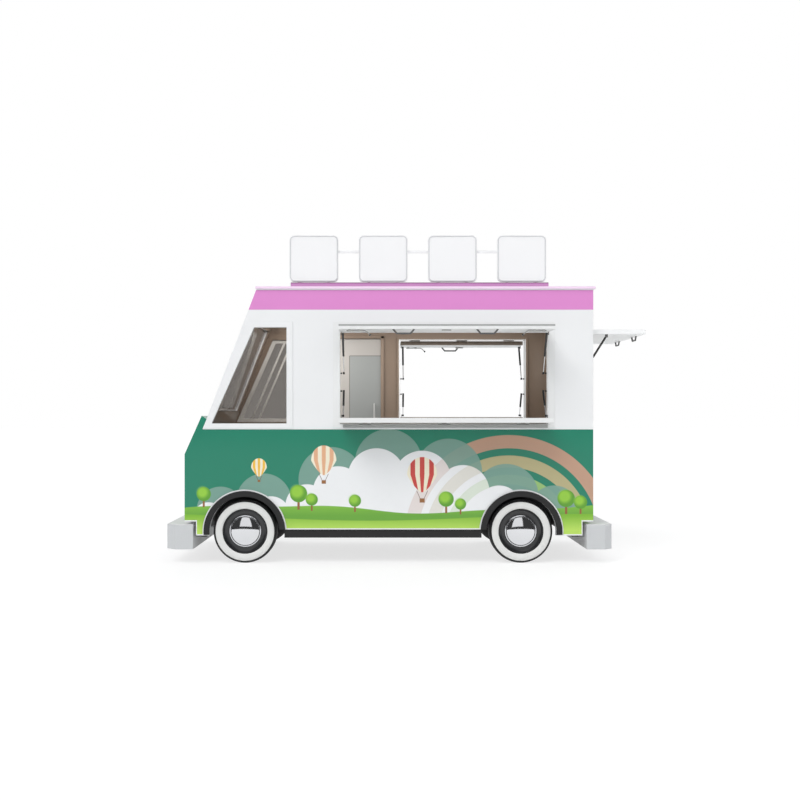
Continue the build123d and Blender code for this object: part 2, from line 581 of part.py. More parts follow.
def flap(wall, low_x, high_x, axis_z, up, length, pin, handles):
    """A panel lying level outside its opening. Up is -1 for one that hangs below its hinge line."""
    axis_y = -wall - AXIS_OUT
    z_low, z_high = sorted((axis_z + up * FLAP_NEAR, axis_z + up * FLAP_FAR))
    panel = slab((low_x + 6, high_x - 6), (axis_y - length, axis_y - FLAP_START), (z_low, z_high))
    for x in hinge_places(low_x, high_x):
        panel += bar((x - 20, axis_y, axis_z), (x + 20, axis_y, axis_z), BARREL_R)
        leaf_low, leaf_high = sorted((axis_z + up * 3, axis_z + up * (FLAP_NEAR + 1)))
        panel += slab((x - 20, x + 20), (axis_y - 34, axis_y), (leaf_low, leaf_high))
        panel -= bar((x - 35, axis_y, axis_z), (x + 35, axis_y, axis_z), HINGE_PIN_R + RUNNING_GAP)
    pin_y, pin_z = axis_y - pin[0], axis_z + up * pin[1]
    for x, inward in ((low_x, 1), (high_x, -1)):
        plate = sorted((x + inward * 14, x + inward * 18))
        z_low, z_high = sorted((axis_z + up * (FLAP_FAR - 1), pin_z + up * 10))
        panel += slab(plate, (pin_y - 12, pin_y + 12), (z_low, z_high))
        panel += bar((x + inward * 16, pin_y, pin_z), (x + inward * 40, pin_y, pin_z), PIN_R)
    foot_z = axis_z + up * (FLAP_FAR - 2)
    grip_z = axis_z + up * (FLAP_FAR + GRIP_DROP)
    grip_y = axis_y - length + GRIP_FROM_EDGE
    for share in handles:
        middle = low_x + (high_x - low_x) * share
        left_corner, right_corner = (middle - GRIP_HALF, grip_z), (middle + GRIP_HALF, grip_z)
        corners = [(middle - GRIP_FOOT, foot_z), left_corner, right_corner, (middle + GRIP_FOOT, foot_z)]
        for (x0, z0), (x1, z1) in zip(corners, corners[1:]):
            panel += bar((x0, grip_y, z0), (x1, grip_y, z1), GRIP_R)
        for x, z in (left_corner, right_corner):
            panel += Pos(x, grip_y, z) * Sphere(GRIP_R)
    return panel


BARREL = 9
ROD = 4
ROD_INSIDE = 30
EYE_LENGTH = 16


def strut(x, pin, far, barrel_length, barrel_at_pin):
    """A gas strut from the flap's pin to the jamb: its barrel and its rod, each with an eye."""
    start, end = Vector(x, *pin), Vector(x, *far)
    along = (end - start).normalized()
    length = (end - start).length
    eyes = [bar((x - EYE_LENGTH / 2, *p), (x + EYE_LENGTH / 2, *p), BARREL) for p in (pin, far)]
    pin_hole = bar((x - 20, *pin), (x + 20, *pin), PIN_R + RUNNING_GAP)
    if barrel_at_pin:
        low, high = start + along * 6, start + along * barrel_length
        rod_low, rod_high = start + along * (barrel_length - ROD_INSIDE), start + along * (length - 4)
        mouth = start + along * 22
    else:
        low, high = start + along * (length - barrel_length), start + along * (length - 6)
        rod_low, rod_high = start + along * 4, start + along * (length - barrel_length + ROD_INSIDE)
        mouth = start + along * (length - 22)
    barrel = bar(tuple(low), tuple(high), BARREL)
    bore_end = high + along if barrel_at_pin else low - along
    barrel -= bar(tuple(mouth), tuple(bore_end), ROD + RUNNING_GAP)
    rod = bar(tuple(rod_low), tuple(rod_high), ROD)
    if barrel_at_pin:
        return (barrel + eyes[0]) - pin_hole, rod + eyes[1]
    return barrel + eyes[1], (rod + eyes[0]) - pin_hole


for name, turn, wall, low_x, high_x, low_z, upper, lower, handles in STATIONS:
    place = Rot(0, 0, turn)
    keep(f"{name}_window_frame", place * serving_frame(wall, low_x, high_x, low_z, lower))
    axis_y = -wall - AXIS_OUT
    jamb_y = -wall + JAMB_DEPTH
    # Columns: name, hinge height, way up, length, strut pin and jamb height, barrel, handles
    rows = [("upper_" if lower else "", UPPER_AXIS_Z, -1, upper, UPPER_PIN, UPPER_JAMB_Z, 210, handles)]
    if lower:
        rows.append(("lower_", LOWER_AXIS_Z, 1, lower, LOWER_PIN, LOWER_JAMB_Z, 150, ()))
    for row, axis_z, up, length, pin, jamb_z, barrel_length, grips in rows:
        keep(f"{name}_{row}flap", place * flap(wall, low_x, high_x, axis_z, up, length, pin, grips))
        pin_place = (axis_y - pin[0], axis_z + up * pin[1])
        pair = [
            strut(x, pin_place, (jamb_y, jamb_z), barrel_length, up < 0)
            for x in (low_x + STRUT_INSET, high_x - STRUT_INSET)
        ]
        keep(f"{name}_{row}strut_barrels", place * Compound(children=[barrel for barrel, rod in pair]))
        keep(f"{name}_{row}strut_rods", place * Compound(children=[rod for barrel, rod in pair]))

# Entry door: a flush panel hinged at its front edge, with an outside pull
DOOR_HINGE_Z = (640, 1215, 1790)
PULL_X, PULL_Z = DOOR_X[1] - 75, (1150, 1350)
PULL_OUT = 35
door = slab((DOOR_X[0] + FLAP_START, DOOR_X[1]), (INNER, HALF_WIDTH), DOOR_Z)
for z in DOOR_HINGE_Z:
    leaf_z = (z - 35, z + 35)
    door += bar((DOOR_AXIS_X, DOOR_AXIS_Y, leaf_z[0]), (DOOR_AXIS_X, DOOR_AXIS_Y, leaf_z[1]), 8)
    door += slab((DOOR_AXIS_X, DOOR_AXIS_X + 60), (HALF_WIDTH - 1, HALF_WIDTH + 4), leaf_z)
    door += slab((DOOR_AXIS_X, DOOR_AXIS_X + 9), (HALF_WIDTH, DOOR_AXIS_Y), leaf_z)
pull_y = HALF_WIDTH + PULL_OUT
door += bar((PULL_X, pull_y, PULL_Z[0]), (PULL_X, pull_y, PULL_Z[1]), 9)
for z in (PULL_Z[0] + 10, PULL_Z[1] - 10):
    door += bar((PULL_X, HALF_WIDTH - 2, z), (PULL_X, pull_y, z), 7)
keep("entry_door", door)
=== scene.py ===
import math
from functools import partialmethod
import bpy
from mathutils import Matrix, Vector


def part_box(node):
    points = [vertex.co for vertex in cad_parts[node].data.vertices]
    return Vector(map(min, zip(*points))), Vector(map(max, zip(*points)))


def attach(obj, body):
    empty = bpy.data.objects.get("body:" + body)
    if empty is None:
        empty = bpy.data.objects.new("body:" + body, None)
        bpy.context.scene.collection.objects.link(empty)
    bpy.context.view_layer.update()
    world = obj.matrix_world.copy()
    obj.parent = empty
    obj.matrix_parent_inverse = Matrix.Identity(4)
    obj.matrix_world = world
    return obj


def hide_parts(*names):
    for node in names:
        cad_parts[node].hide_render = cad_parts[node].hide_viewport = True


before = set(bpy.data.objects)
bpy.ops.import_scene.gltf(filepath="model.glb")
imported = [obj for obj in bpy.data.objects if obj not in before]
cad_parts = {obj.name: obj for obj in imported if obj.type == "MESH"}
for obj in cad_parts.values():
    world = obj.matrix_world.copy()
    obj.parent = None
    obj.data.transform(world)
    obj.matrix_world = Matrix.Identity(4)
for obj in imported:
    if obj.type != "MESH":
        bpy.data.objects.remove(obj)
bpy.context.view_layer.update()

# Camera: it looks square-on at the truck's left side, as in the photograph, from a person's shoulder
# height and nine metres off, with a 50 mm lens. The shift only moves the truck to its place in the picture.
LEFT_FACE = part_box("left_lower_wall")[0].y
REAR_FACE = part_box("left_lower_wall")[1].x
CAMERA_BEFORE_REAR = 1.744
CAMERA_OFF = 9.26
CAMERA_HEIGHT = 1.254
camera_data = bpy.data.cameras.new("camera")
camera_data.lens = 50
camera_data.sensor_width = 36
camera_data.shift_x = 0.02
camera_data.shift_y = 0.01625
camera = bpy.data.objects.new("camera", camera_data)
camera.location = (REAR_FACE - CAMERA_BEFORE_REAR, LEFT_FACE - CAMERA_OFF, CAMERA_HEIGHT)
camera.rotation_euler = (math.radians(90), 0, 0)
bpy.context.scene.collection.objects.link(camera)
bpy.context.scene.camera = camera
bpy.context.scene.view_settings.view_transform = "Standard"


# Studio floor: a wide matt white sheet that takes the truck's soft shadow. It is partly bright of itself
# where it is seen, mirrored or seen through glass, so that it runs into the white background.
class Value:
    """A number that varies over a surface: one socket, on which arithmetic adds Math nodes."""

    def __init__(self, finish, socket):
        self.finish = finish
        self.socket = socket

    def _math(self, operation, other=None):
        sockets = {0: self}
        if other is not None:
            sockets[1] = other
        return self.finish.node("ShaderNodeMath", {"operation": operation}, sockets).value()

    def __rsub__(self, other):
        return self.finish.node("ShaderNodeMath", {"operation": "SUBTRACT"}, {0: other, 1: self}).value()

    def soft(self, low, high):
        """0 below one number, 1 above the other, and smooth between them."""
        settings = {"interpolation_type": "SMOOTHSTEP"}
        return self.finish.node("ShaderNodeMapRange", settings, {0: self, 1: low, 2: high}).value()


OPERATIONS = {
    "__add__": "ADD", "__sub__": "SUBTRACT", "__mul__": "MULTIPLY", "__truediv__": "DIVIDE",
    "__gt__": "GREATER_THAN", "__lt__": "LESS_THAN", "most": "MAXIMUM",
    "__abs__": "ABSOLUTE", "root": "SQRT", "sine": "SINE", "fraction": "FRACT",
}
for method, operation in OPERATIONS.items():
    setattr(Value, method, partialmethod(Value._math, operation))


class Added:
    """A node just added, and its output sockets."""

    def __init__(self, finish, node):
        self.finish = finish
        self.node = node

    def value(self, name=0):
        return Value(self.finish, self.node.outputs[name])

    def out(self, name=0):
        return self.node.outputs[name]


class Finish:
    """A material of one finish: a shader and the nodes that colour it."""

    def __init__(self, name, **uniform):
        self.material = bpy.data.materials.new(name)
        self.material.use_nodes = True
        self.tree = self.material.node_tree
        self.shader = self.tree.nodes["Principled BSDF"]
        for socket, number in uniform.items():
            self.shader.inputs[socket.replace("_", " ")].default_value = number
        self._place = None

    def node(self, kind, settings=None, sockets=None):
        node = self.tree.nodes.new(kind)
        for name, setting in (settings or {}).items():
            setattr(node, name, setting)
        for name, given in (sockets or {}).items():
            self.join(given, node.inputs[name])
        return Added(self, node)

    def join(self, given, socket):
        if isinstance(given, Value):
            self.tree.links.new(given.socket, socket)
        elif isinstance(given, bpy.types.NodeSocket):
            self.tree.links.new(given, socket)
        elif socket.type == "RGBA" and len(given) == 3:
            socket.default_value = (*given, 1)
        else:
            socket.default_value = given

    def set(self, name, given):
        self.join(given, self.shader.inputs[name])

    def place(self):
        """The point's x, y and z on the truck, in metres."""
        if self._place is None:
            coordinates = self.node("ShaderNodeTexCoord")
            split = self.node("ShaderNodeSeparateXYZ", {}, {0: coordinates.out("Object")})
            self._place = [split.value(axis) for axis in ("X", "Y", "Z")] + [coordinates.out("Object")]
        return self._place

    def noise(self, scale, detail=2.0, roughness=0.5):
        sockets = {"Vector": self.place()[3], "Scale": scale, "Detail": detail, "Roughness": roughness}
        return self.node("ShaderNodeTexNoise", {}, sockets).value("Fac")

    def over(self, base, colour, mask):
        """One colour laid over another where the mask is 1."""
        mix = self.node("ShaderNodeMix", {"data_type": "RGBA"}, {0: mask, 6: base, 7: colour})
        return mix.out(2)

    def bump(self, height, strength, distance):
        sockets = {"Height": height, "Strength": strength, "Distance": distance}
        if self.shader.inputs["Normal"].is_linked:
            sockets["Normal"] = self.shader.inputs["Normal"].links[0].from_socket
        self.set("Normal", self.node("ShaderNodeBump", {}, sockets).out())

    def soft_edges(self, radius):
        bevel = self.node("ShaderNodeBevel", {"samples": 4}, {"Radius": radius})
        self.set("Normal", bevel.out())


FLOOR_WHITE = 0.62
floor_mesh = bpy.data.meshes.new("floor_sheet")
floor_mesh.from_pydata([(-60, -40, 0), (60, -40, 0), (60, 80, 0), (-60, 80, 0)], [], [(0, 1, 2, 3)])
floor_sheet = bpy.data.objects.new("floor_sheet", floor_mesh)
bpy.context.scene.collection.objects.link(floor_sheet)
floor_finish = Finish("studio_floor", Roughness=0.9)
floor_finish.set("Base Color", (0.86, 0.86, 0.86))
rays = floor_finish.node("ShaderNodeLightPath")
white = floor_finish.node("ShaderNodeEmission", {}, {"Color": (1, 1, 1), "Strength": 1.16})
seen = rays.value("Is Camera Ray").most(rays.value("Is Glossy Ray")).most(rays.value("Is Transmission Ray"))
blend = floor_finish.node(
    "ShaderNodeMixShader", {}, {0: seen * FLOOR_WHITE, 1: floor_finish.shader.outputs[0], 2: white.out()}
)
floor_finish.join(blend.out(), floor_finish.tree.nodes["Material Output"].inputs["Surface"])
floor_sheet.data.materials.append(floor_finish.material)

# Studio walls: even white behind the truck, and soft light from all round. Bright metal mirrors them as
# dark walls with one tall window, as chrome shows in a real studio.
class Room(Finish):
    """The world, whose nodes are added as a finish's are."""

    def __init__(self, name):
        world = bpy.data.worlds.new(name)
        world.use_nodes = True
        self.tree = world.node_tree
        bpy.context.scene.world = world


room = Room("studio")
ambient = room.tree.nodes["Background"]
ambient.inputs["Color"].default_value = (0.97, 0.985, 1.0, 1)
ambient.inputs["Strength"].default_value = 0.52
rays = room.node("ShaderNodeLightPath")
around = room.node("ShaderNodeTexCoord")
towards = room.node("ShaderNodeSeparateXYZ", {}, {0: around.out("Generated")})
x, z = towards.value("X"), towards.value("Z")
window = (z > 0.1) * (z < 0.95) * (x > -0.34) * (x < 0.2)
walls = room.node(
    "ShaderNodeMix", {"data_type": "RGBA"}, {0: window, 6: (0.05, 0.05, 0.05), 7: (0.95, 0.95, 0.95)}
)
lit = ambient.outputs[0]
for ray, colour in (("Glossy", walls.out(2)), ("Camera", (1, 1, 1)), ("Transmission", (1, 1, 1))):
    shown = room.node("ShaderNodeBackground", {}, {"Color": colour})
    is_ray = rays.value(f"Is {ray} Ray")
    lit = room.node("ShaderNodeMixShader", {}, {0: is_ray, 1: lit, 2: shown.out()}).out()
room.join(lit, room.tree.nodes["World Output"].inputs["Surface"])

# Studio lamps: three broad soft boxes on stands, as suns with a wide spread, for the outside. Bright
# metal doesn't show them.
#    name, where it comes from, spread in degrees, power
SUNS = [
    ("key_sun", (-0.45, -0.75, 0.95), 35, 1.35),
    ("fill_sun", (0.75, -0.6, 0.55), 60, 0.42),
    ("back_sun", (0.3, 0.8, 0.8), 45, 0.6),
]


def add_light(name, kind, power, **settings):
    """A lamp that bright metal doesn't show."""
    lamp = bpy.data.lights.new(name, kind)
    lamp.energy = power
    for setting, value in settings.items():
        setattr(lamp, setting, value)
    holder = bpy.data.objects.new(name, lamp)
    holder.visible_glossy = False
    bpy.context.scene.collection.objects.link(holder)
    return holder


for name, aim, spread, power in SUNS:
    sun = add_light(name, "SUN", power, angle=math.radians(spread))
    sun.rotation_euler = Vector(aim).to_track_quat("Z", "Y").to_euler()

# Ceiling lamps: two flat lamps under the truck's roof, over the kitchen and over the cab, which light
# the inside as the photograph has it. They themselves aren't seen.
#    name, place, width, depth, power
ROOM_LAMPS = [
    ("kitchen_lamp", (0.25, 0.0, 2.18), 1.9, 0.9, 20),
    ("cab_lamp", (-1.0, 0.0, 2.15), 0.35, 1.2, 22),
]
for name, place, width, depth, power in ROOM_LAMPS:
    panel = add_light(name, "AREA", power, shape="RECTANGLE", size=width, size_y=depth)
    panel.location = place
    panel.visible_camera = False
    panel.visible_transmission = False


# Lower body: steel-faced panels, sprayed green, with a printed film of clouds, hills and balloons
# between the waist and the sill. A thin white line follows the lower edges and the wheel arches.
# The inside faces are lined with brown board, as the rest of the kitchen is.
def tone(red, green, blue):
    """A colour as seen, 0 to 255, turned to the linear numbers that shaders take."""
    linear = []
    for level in (red, green, blue):
        share = level / 255
        linear.append(share / 12.92 if share <= 0.04045 else ((share + 0.055) / 1.055) ** 2.4)
    return tuple(linear)


def wear(finish, base, low_rough, high_rough, scale=6.0, depth=0.06):
    """Paint that is a little uneven in shade and gloss, as sprayed panels are."""
    cloudy = finish.noise(scale, 4.0, 0.6)
    fine = finish.noise(scale * 12, 2.0, 0.5)
    shade = (cloudy - 0.5) * depth + (fine - 0.5) * (depth * 0.4)
    darker = finish.node("ShaderNodeHueSaturation", {}, {"Value": shade + 1.0, "Color": base})
    finish.set("Base Color", darker.out())
    finish.set("Roughness", cloudy * (high_rough - low_rough) + low_rough)


def sprayed(name, edge, **uniform):
    """A finish with its edges seen rounded, and the point's x, y and z."""
    finish = Finish(name, **uniform)
    finish.soft_edges(edge)
    return finish, *finish.place()[:3]


def dress(finish, *names):
    """Give CAD nodes a finish."""
    for name in names:
        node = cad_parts[name]
        node.data.materials.clear()
        node.data.materials.append(finish.material)


GREEN = tone(18, 129, 102)
WHITE = tone(243, 244, 245)
BROWN = tone(136, 119, 104)
BACK_CLOUD = tone(124, 163, 150)
CLOUD = tone(243, 244, 246)
GRASS_DARK = tone(104, 168, 52)
NOSE_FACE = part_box("left_lower_wall")[0].x
INNER_SIDE = 0.767
WHEEL_HEIGHT = 0.265
SILL_LINE = 0.2935
VALANCE_LINE = 0.3605
LOWEST_LINE = 0.244
ARCH_LINE = 0.351
front_axle_x = (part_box("front_left_tyre")[0].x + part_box("front_left_tyre")[1].x) / 2
rear_axle_x = (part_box("rear_left_tyre")[0].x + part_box("rear_left_tyre")[1].x) / 2
# Each cloud puff, from the nose and from the ground, and its radius, in metres
BACK_PUFFS = [
    (0.3, 0.44, 0.2), (0.66, 0.52, 0.23), (1.22, 0.7, 0.27), (1.7, 0.84, 0.28), (2.2, 0.76, 0.28),
    (2.68, 0.56, 0.27), (3.08, 0.44, 0.21),
]
PUFFS = [
    (0.2, 0.38, 0.13), (0.44, 0.43, 0.15), (0.72, 0.4, 0.16), (1.02, 0.48, 0.18), (1.28, 0.6, 0.21),
    (1.6, 0.72, 0.24), (1.98, 0.7, 0.24), (2.32, 0.6, 0.22), (2.62, 0.46, 0.19), (1.5, 0.42, 0.24),
    (1.9, 0.42, 0.28), (2.92, 0.36, 0.12),
]
# Rainbow rings about one middle: inner and outer radius, and colour
RING_MIDDLE = (2.7, 0.2)
RINGS = [
    (0.76, 0.87, tone(204, 158, 134)), (0.6, 0.7, tone(196, 182, 136)), (0.46, 0.54, tone(160, 198, 118)),
]
# Round trees: along, foot, size
TREES = [
    (0.16, 0.47, 0.07), (0.95, 0.45, 0.085), (1.06, 0.44, 0.06), (1.42, 0.43, 0.06), (2.18, 0.42, 0.075),
    (2.3, 0.41, 0.055), (3.18, 0.41, 0.085), (3.3, 0.41, 0.065),
]
# Balloons: along, height, radius, colour
BALLOONS = [
    (1.16, 0.86, 0.105, tone(232, 178, 140)), (1.98, 0.74, 0.125, tone(206, 66, 60)),
    (0.62, 0.8, 0.065, tone(240, 190, 70)),
]


def disc(along, height, middle_x, middle_z, radius, edge=0.0025):
    """1 inside a circle on the print."""
    across = along - middle_x
    up = height - middle_z
    return 1 - (across * across + up * up).root().soft(radius - edge, radius + edge)


def union(masks):
    """1 where any of the masks is."""
    whole = masks[0]
    for mask in masks[1:]:
        whole = whole.most(mask)
    return whole


def ring_masks(away, height):
    """The rainbow's rings, each as its colour and its mask."""
    masks = []
    for low, high, ring_tone in RINGS:
        across = away - RING_MIDDLE[0]
        up = height - RING_MIDDLE[1]
        out = (across * across + up * up).root()
        ring = out.soft(low - 0.002, low + 0.002) * (1 - out.soft(high - 0.002, high + 0.002))
        masks.append((ring_tone, ring))
    return masks


def trees(finish, colour, away, height):
    """Round trees on brown trunks, lit from the upper left."""
    for x, foot, size in TREES:
        trunk = 1 - abs(away - x).soft(size * 0.1, size * 0.1 + 0.003)
        top = foot + size
        trunk = trunk * height.soft(foot - 0.003, foot) * (1 - height.soft(top, top + 0.003))
        colour = finish.over(colour, tone(150, 96, 50), trunk)
        crown = disc(away, height, x, foot + size * 1.55, size * 0.85)
        colour = finish.over(colour, tone(92, 160, 40), crown)
        lit = disc(away, height, x - size * 0.15, foot + size * 1.75, size * 0.6, 0.02)
        colour = finish.over(colour, tone(150, 206, 60), lit)
    return colour


def balloons(finish, colour, away, height):
    """Striped balloons, each with a basket on two ropes."""
    for x, middle, radius, balloon_tone in BALLOONS:
        across = (away - x) / radius
        up = (height - middle) / radius
        narrow = 1 - (0 - up).most(0.0) * 0.42
        out = (across * across / (narrow * narrow) + up * up * 0.72).root()
        bag = 1 - out.soft(0.98, 1.02)
        gores = ((across / narrow) * 1.6 + 0.25).fraction() > 0.5
        colour = finish.over(colour, finish.over(balloon_tone, tone(247, 238, 214), gores), bag)
        basket = (1 - abs(away - x).soft(radius * 0.16, radius * 0.18)) * (
            1 - abs(height - (middle - radius * 1.72)).soft(radius * 0.13, radius * 0.15)
        )
        colour = finish.over(colour, tone(150, 98, 52), basket)
        for side in (-1, 1):
            drop = (height - (middle - radius * 1.62)) / radius
            line = abs(away - x - drop * (side * radius * 0.45) - side * radius * 0.12)
            rope = (1 - line.soft(0.0015, 0.003)) * (drop > 0) * (drop < 0.55)
            colour = finish.over(colour, tone(120, 84, 60), rope)
    return colour


def scenery(finish, along, height, shift=0.0, motifs=True):
    """The print, by distance along the panel and height. The shift slides it along."""
    away = along + shift
    ground = away * 2.2
    hills = ground.sine() * 0.03 + (away * 5.3 + 1.0).sine() * 0.012 + 0.455
    meadow = (away * 1.7 + 2.1).sine() * 0.028 + 0.385
    rings = ring_masks(away, height)
    colour = GREEN
    for ring_tone, ring in rings:
        colour = finish.over(colour, ring_tone, ring * 0.9)
    back = union([disc(away, height, *puff) for puff in BACK_PUFFS])
    colour = finish.over(colour, BACK_CLOUD, back * 0.92)
    front = union([disc(away, height, *puff) for puff in PUFFS])
    colour = finish.over(colour, CLOUD, front)
    for ring_tone, ring in rings:
        colour = finish.over(colour, ring_tone, ring * front * 0.3)
    hill_mask = 1 - (height - hills).soft(-0.003, 0.003)
    hill_tone = finish.over(GRASS_DARK, tone(140, 200, 66), (height - 0.4) * 8)
    colour = finish.over(colour, hill_tone, hill_mask)
    if motifs:
        colour = balloons(finish, trees(finish, colour, away, height), away, height)
    meadow_mask = 1 - (height - meadow).soft(-0.003, 0.003)
    meadow_tone = finish.over(tone(126, 186, 44), tone(190, 228, 96), (0.4 - height) * 8)
    colour = finish.over(colour, meadow_tone, meadow_mask)
    return colour


def below(number, level):
    """1 where a number lies below a level."""
    return 1 - number.soft(level - 0.001, level + 0.001)


def white_lines(finish, colour, along, x, height):
    """The thin white line along the sill, the valances and round the arches."""
    low = below(height, SILL_LINE) * (x > front_axle_x) * (x < rear_axle_x)
    low = low.most(below(height, LOWEST_LINE))
    low = low.most(below(height, VALANCE_LINE) * (along < 0.103))
    low = low.most(below(height, VALANCE_LINE) * (along > 3.309))
    for axle_x in (front_axle_x, rear_axle_x):
        across = x - axle_x
        up = height - WHEEL_HEIGHT
        out = (across * across + up * up).root()
        low = low.most(below(out, ARCH_LINE))
    return finish.over(colour, WHITE, low)


body_print, x, y, z = sprayed("printed_green_body", 0.004, Coat_Weight=0.35, Coat_Roughness=0.08)
along = x - NOSE_FACE
print_colour = white_lines(body_print, scenery(body_print, along, z), along, x, z)
inside = 1 - abs(y).soft(INNER_SIDE - 0.001, INNER_SIDE)
wear(body_print, body_print.over(print_colour, BROWN, inside), 0.3, 0.42, 3.0, 0.04)
dress(body_print, "left_lower_wall", "right_lower_wall")

# Nose: one folded steel panel under the windscreen, sprayed green with the print running on over it,
# and lined with brown board on the cab's side.
nose_print, x, y, z = sprayed("printed_green_nose", 0.006, Coat_Weight=0.35, Coat_Roughness=0.08)
nose_colour = scenery(nose_print, y + 0.8, z, 0.35, False)
nose_colour = nose_print.over(nose_colour, WHITE, below(z, VALANCE_LINE))
outer_face = (z - 0.911).most(0.0) * 0.445 + NOSE_FACE
nose_colour = nose_print.over(nose_colour, BROWN, (x - outer_face) > 0.045)
wear(nose_print, nose_colour, 0.3, 0.42, 3.0, 0.04)
dress(nose_print, "nose_panel")

# Upper body: steel-faced panels as below the waist, sprayed gloss white outside, with the brown lining
# board inside. The side windows' frames are welded in and sprayed with them.
body_white, x, y, z = sprayed("white_body", 0.004, Coat_Weight=0.4, Coat_Roughness=0.06)
inside = 1 - abs(y).soft(INNER_SIDE - 0.001, INNER_SIDE)
wear(body_white, body_white.over(WHITE, BROWN, inside), 0.28, 0.4, 3.0, 0.03)
dress(body_white, "left_upper_wall", "right_upper_wall", "cab_window_frames")

# Windscreen frame: one white pressing that leans back, with the same lining on its cab side. Its plane
# is given by a point at its foot and its slope.
SCREEN_FOOT = (-1.6695, 1.222)
SCREEN_SLOPE = 0.384
screen_white, x, y, z = sprayed("white_screen_frame", 0.004, Coat_Weight=0.4, Coat_Roughness=0.06)
screen_face = (z - SCREEN_FOOT[1]) * SCREEN_SLOPE + SCREEN_FOOT[0]
lined = (x - screen_face) > 0.03
wear(screen_white, screen_white.over(WHITE, BROWN, lined), 0.28, 0.4, 3.0, 0.03)
dress(screen_white, "windscreen_frame")

# Rear wall: one panel, white above the waist and printed below it, with the lining board inside. The
# print runs on round the corner.
WAIST = 1.117
rear_white, x, y, z = sprayed("rear_body", 0.004, Coat_Weight=0.4, Coat_Roughness=0.06)
rear_print = scenery(rear_white, y + 0.8, z, 1.2, False)
rear_colour = rear_white.over(rear_print, WHITE, z.soft(WAIST - 0.0005, WAIST + 0.0005))
rear_colour = rear_white.over(rear_colour, BROWN, 1 - x.soft(REAR_FACE - 0.0585, REAR_FACE - 0.0575))
wear(rear_white, rear_colour, 0.28, 0.4, 3.0, 0.03)
dress(rear_white, "rear_wall")

# Band: a strip of sheet steel round the top of the walls, sprayed gloss pink, with the same brown
# lining board behind it.
pink, x, y, z = sprayed("pink_band", 0.004, Coat_Weight=0.4, Coat_Roughness=0.07)
screen_face = (z - SCREEN_FOOT[1]) * SCREEN_SLOPE + SCREEN_FOOT[0]
inside = (abs(y) < INNER_SIDE) * (x > screen_face + 0.03) * (x < REAR_FACE - 0.03)
wear(pink, pink.over(tone(228, 143, 211), BROWN, inside), 0.3, 0.42, 3.0, 0.04)
dress(pink, "roof_band")

# Roof: a white coated skin whose folded edge stands out as a cornice. The cornice's face is painted
# faintly pink, a painted reflection of light from the pink band below. Inside it is a pale brown ceiling.
roof_white, x, y, z = sprayed("white_roof", 0.004, Coat_Weight=0.2, Coat_Roughness=0.1)
roof_paint = roof_white.over(tone(168, 154, 140), WHITE, z.soft(2.25, 2.2501))
# Painted reflection: the cornice's face is tinted pink, as light bounced up from the pink band would tint
# it.
cornice_painted_pink_reflection = (z > 2.2882) * (z < 2.3075)
wear(roof_white, roof_white.over(roof_paint, tone(252, 224, 250), cornice_painted_pink_reflection), 0.35, 0.5, 3.0, 0.03)
dress(roof_white, "roof")

# Serving frames: pale powder-coated aluminium sections screwed round each opening. Inside the wall
# only a narrow lip stays pale. The ledge below the flap is grey and the struts' ball studs are black.
PALE = tone(238, 239, 239)
EDGE_GREY = tone(168, 169, 168)
LIP = 0.012
TOP_LIP = 0.005
STUD_OUT = (0.765, 1.4865)
STUD_HEIGHTS = (1.587, 1.438)
STUD_R = 0.0078
OPENING_Z = (1.167, 1.967)
#    frame, axis along it, its lowest and highest place there, its lowest z, the wall's inner face
OPENINGS = [
    ("left_window_frame", 0, -0.5645, 1.1685, 1.167, 0.766),
    ("right_window_frame", 0, -0.0405, 1.1735, 1.167, 0.766),
    ("rear_window_frame", 1, -0.69, 0.69, 1.499, 1.487),
]
for frame_name, axis, low, high, low_z, inner in OPENINGS:
    coat, x, y, z = sprayed("coat_of_" + frame_name, 0.003)
    along, out = (x, abs(y)) if axis == 0 else (y, x)
    beside = (along > high + LIP).most(along < low - LIP)
    beside = beside.most(z > OPENING_Z[1] + TOP_LIP).most(z < low_z - LIP)
    ceiling = (z > OPENING_Z[1] - 0.0005) * (out < inner + 0.055)
    lined = ((out < inner) * beside).most(ceiling * (z < OPENING_Z[1] + 0.0005))
    stud_row = abs(z - STUD_HEIGHTS[0]) < STUD_R
    if axis == 0:
        stud_row = stud_row.most(abs(z - STUD_HEIGHTS[1]) < STUD_R)
    clear = (along > low + 0.0003) * (along < high - 0.0003)
    stud = stud_row * clear * (abs(out - STUD_OUT[axis]) < STUD_R)
    ledge = (z < 1.1595) * (out > 0.8325) if axis == 0 else (z < 1.4915) * (out > 1.554)
    seam = (abs(z - (low_z - 0.0015)) < 0.0016) * (along > low) * (along < high)
    colour = coat.over(coat.over(PALE, BROWN, lined), EDGE_GREY, ledge)
    colour = coat.over(coat.over(colour, tone(120, 121, 119), seam), tone(24, 24, 25), stud)
    wear(coat, colour, 0.36, 0.48, 5.0, 0.03)
    coat.bump(coat.noise(900), 0.08, 0.001)
    dress(coat, frame_name)
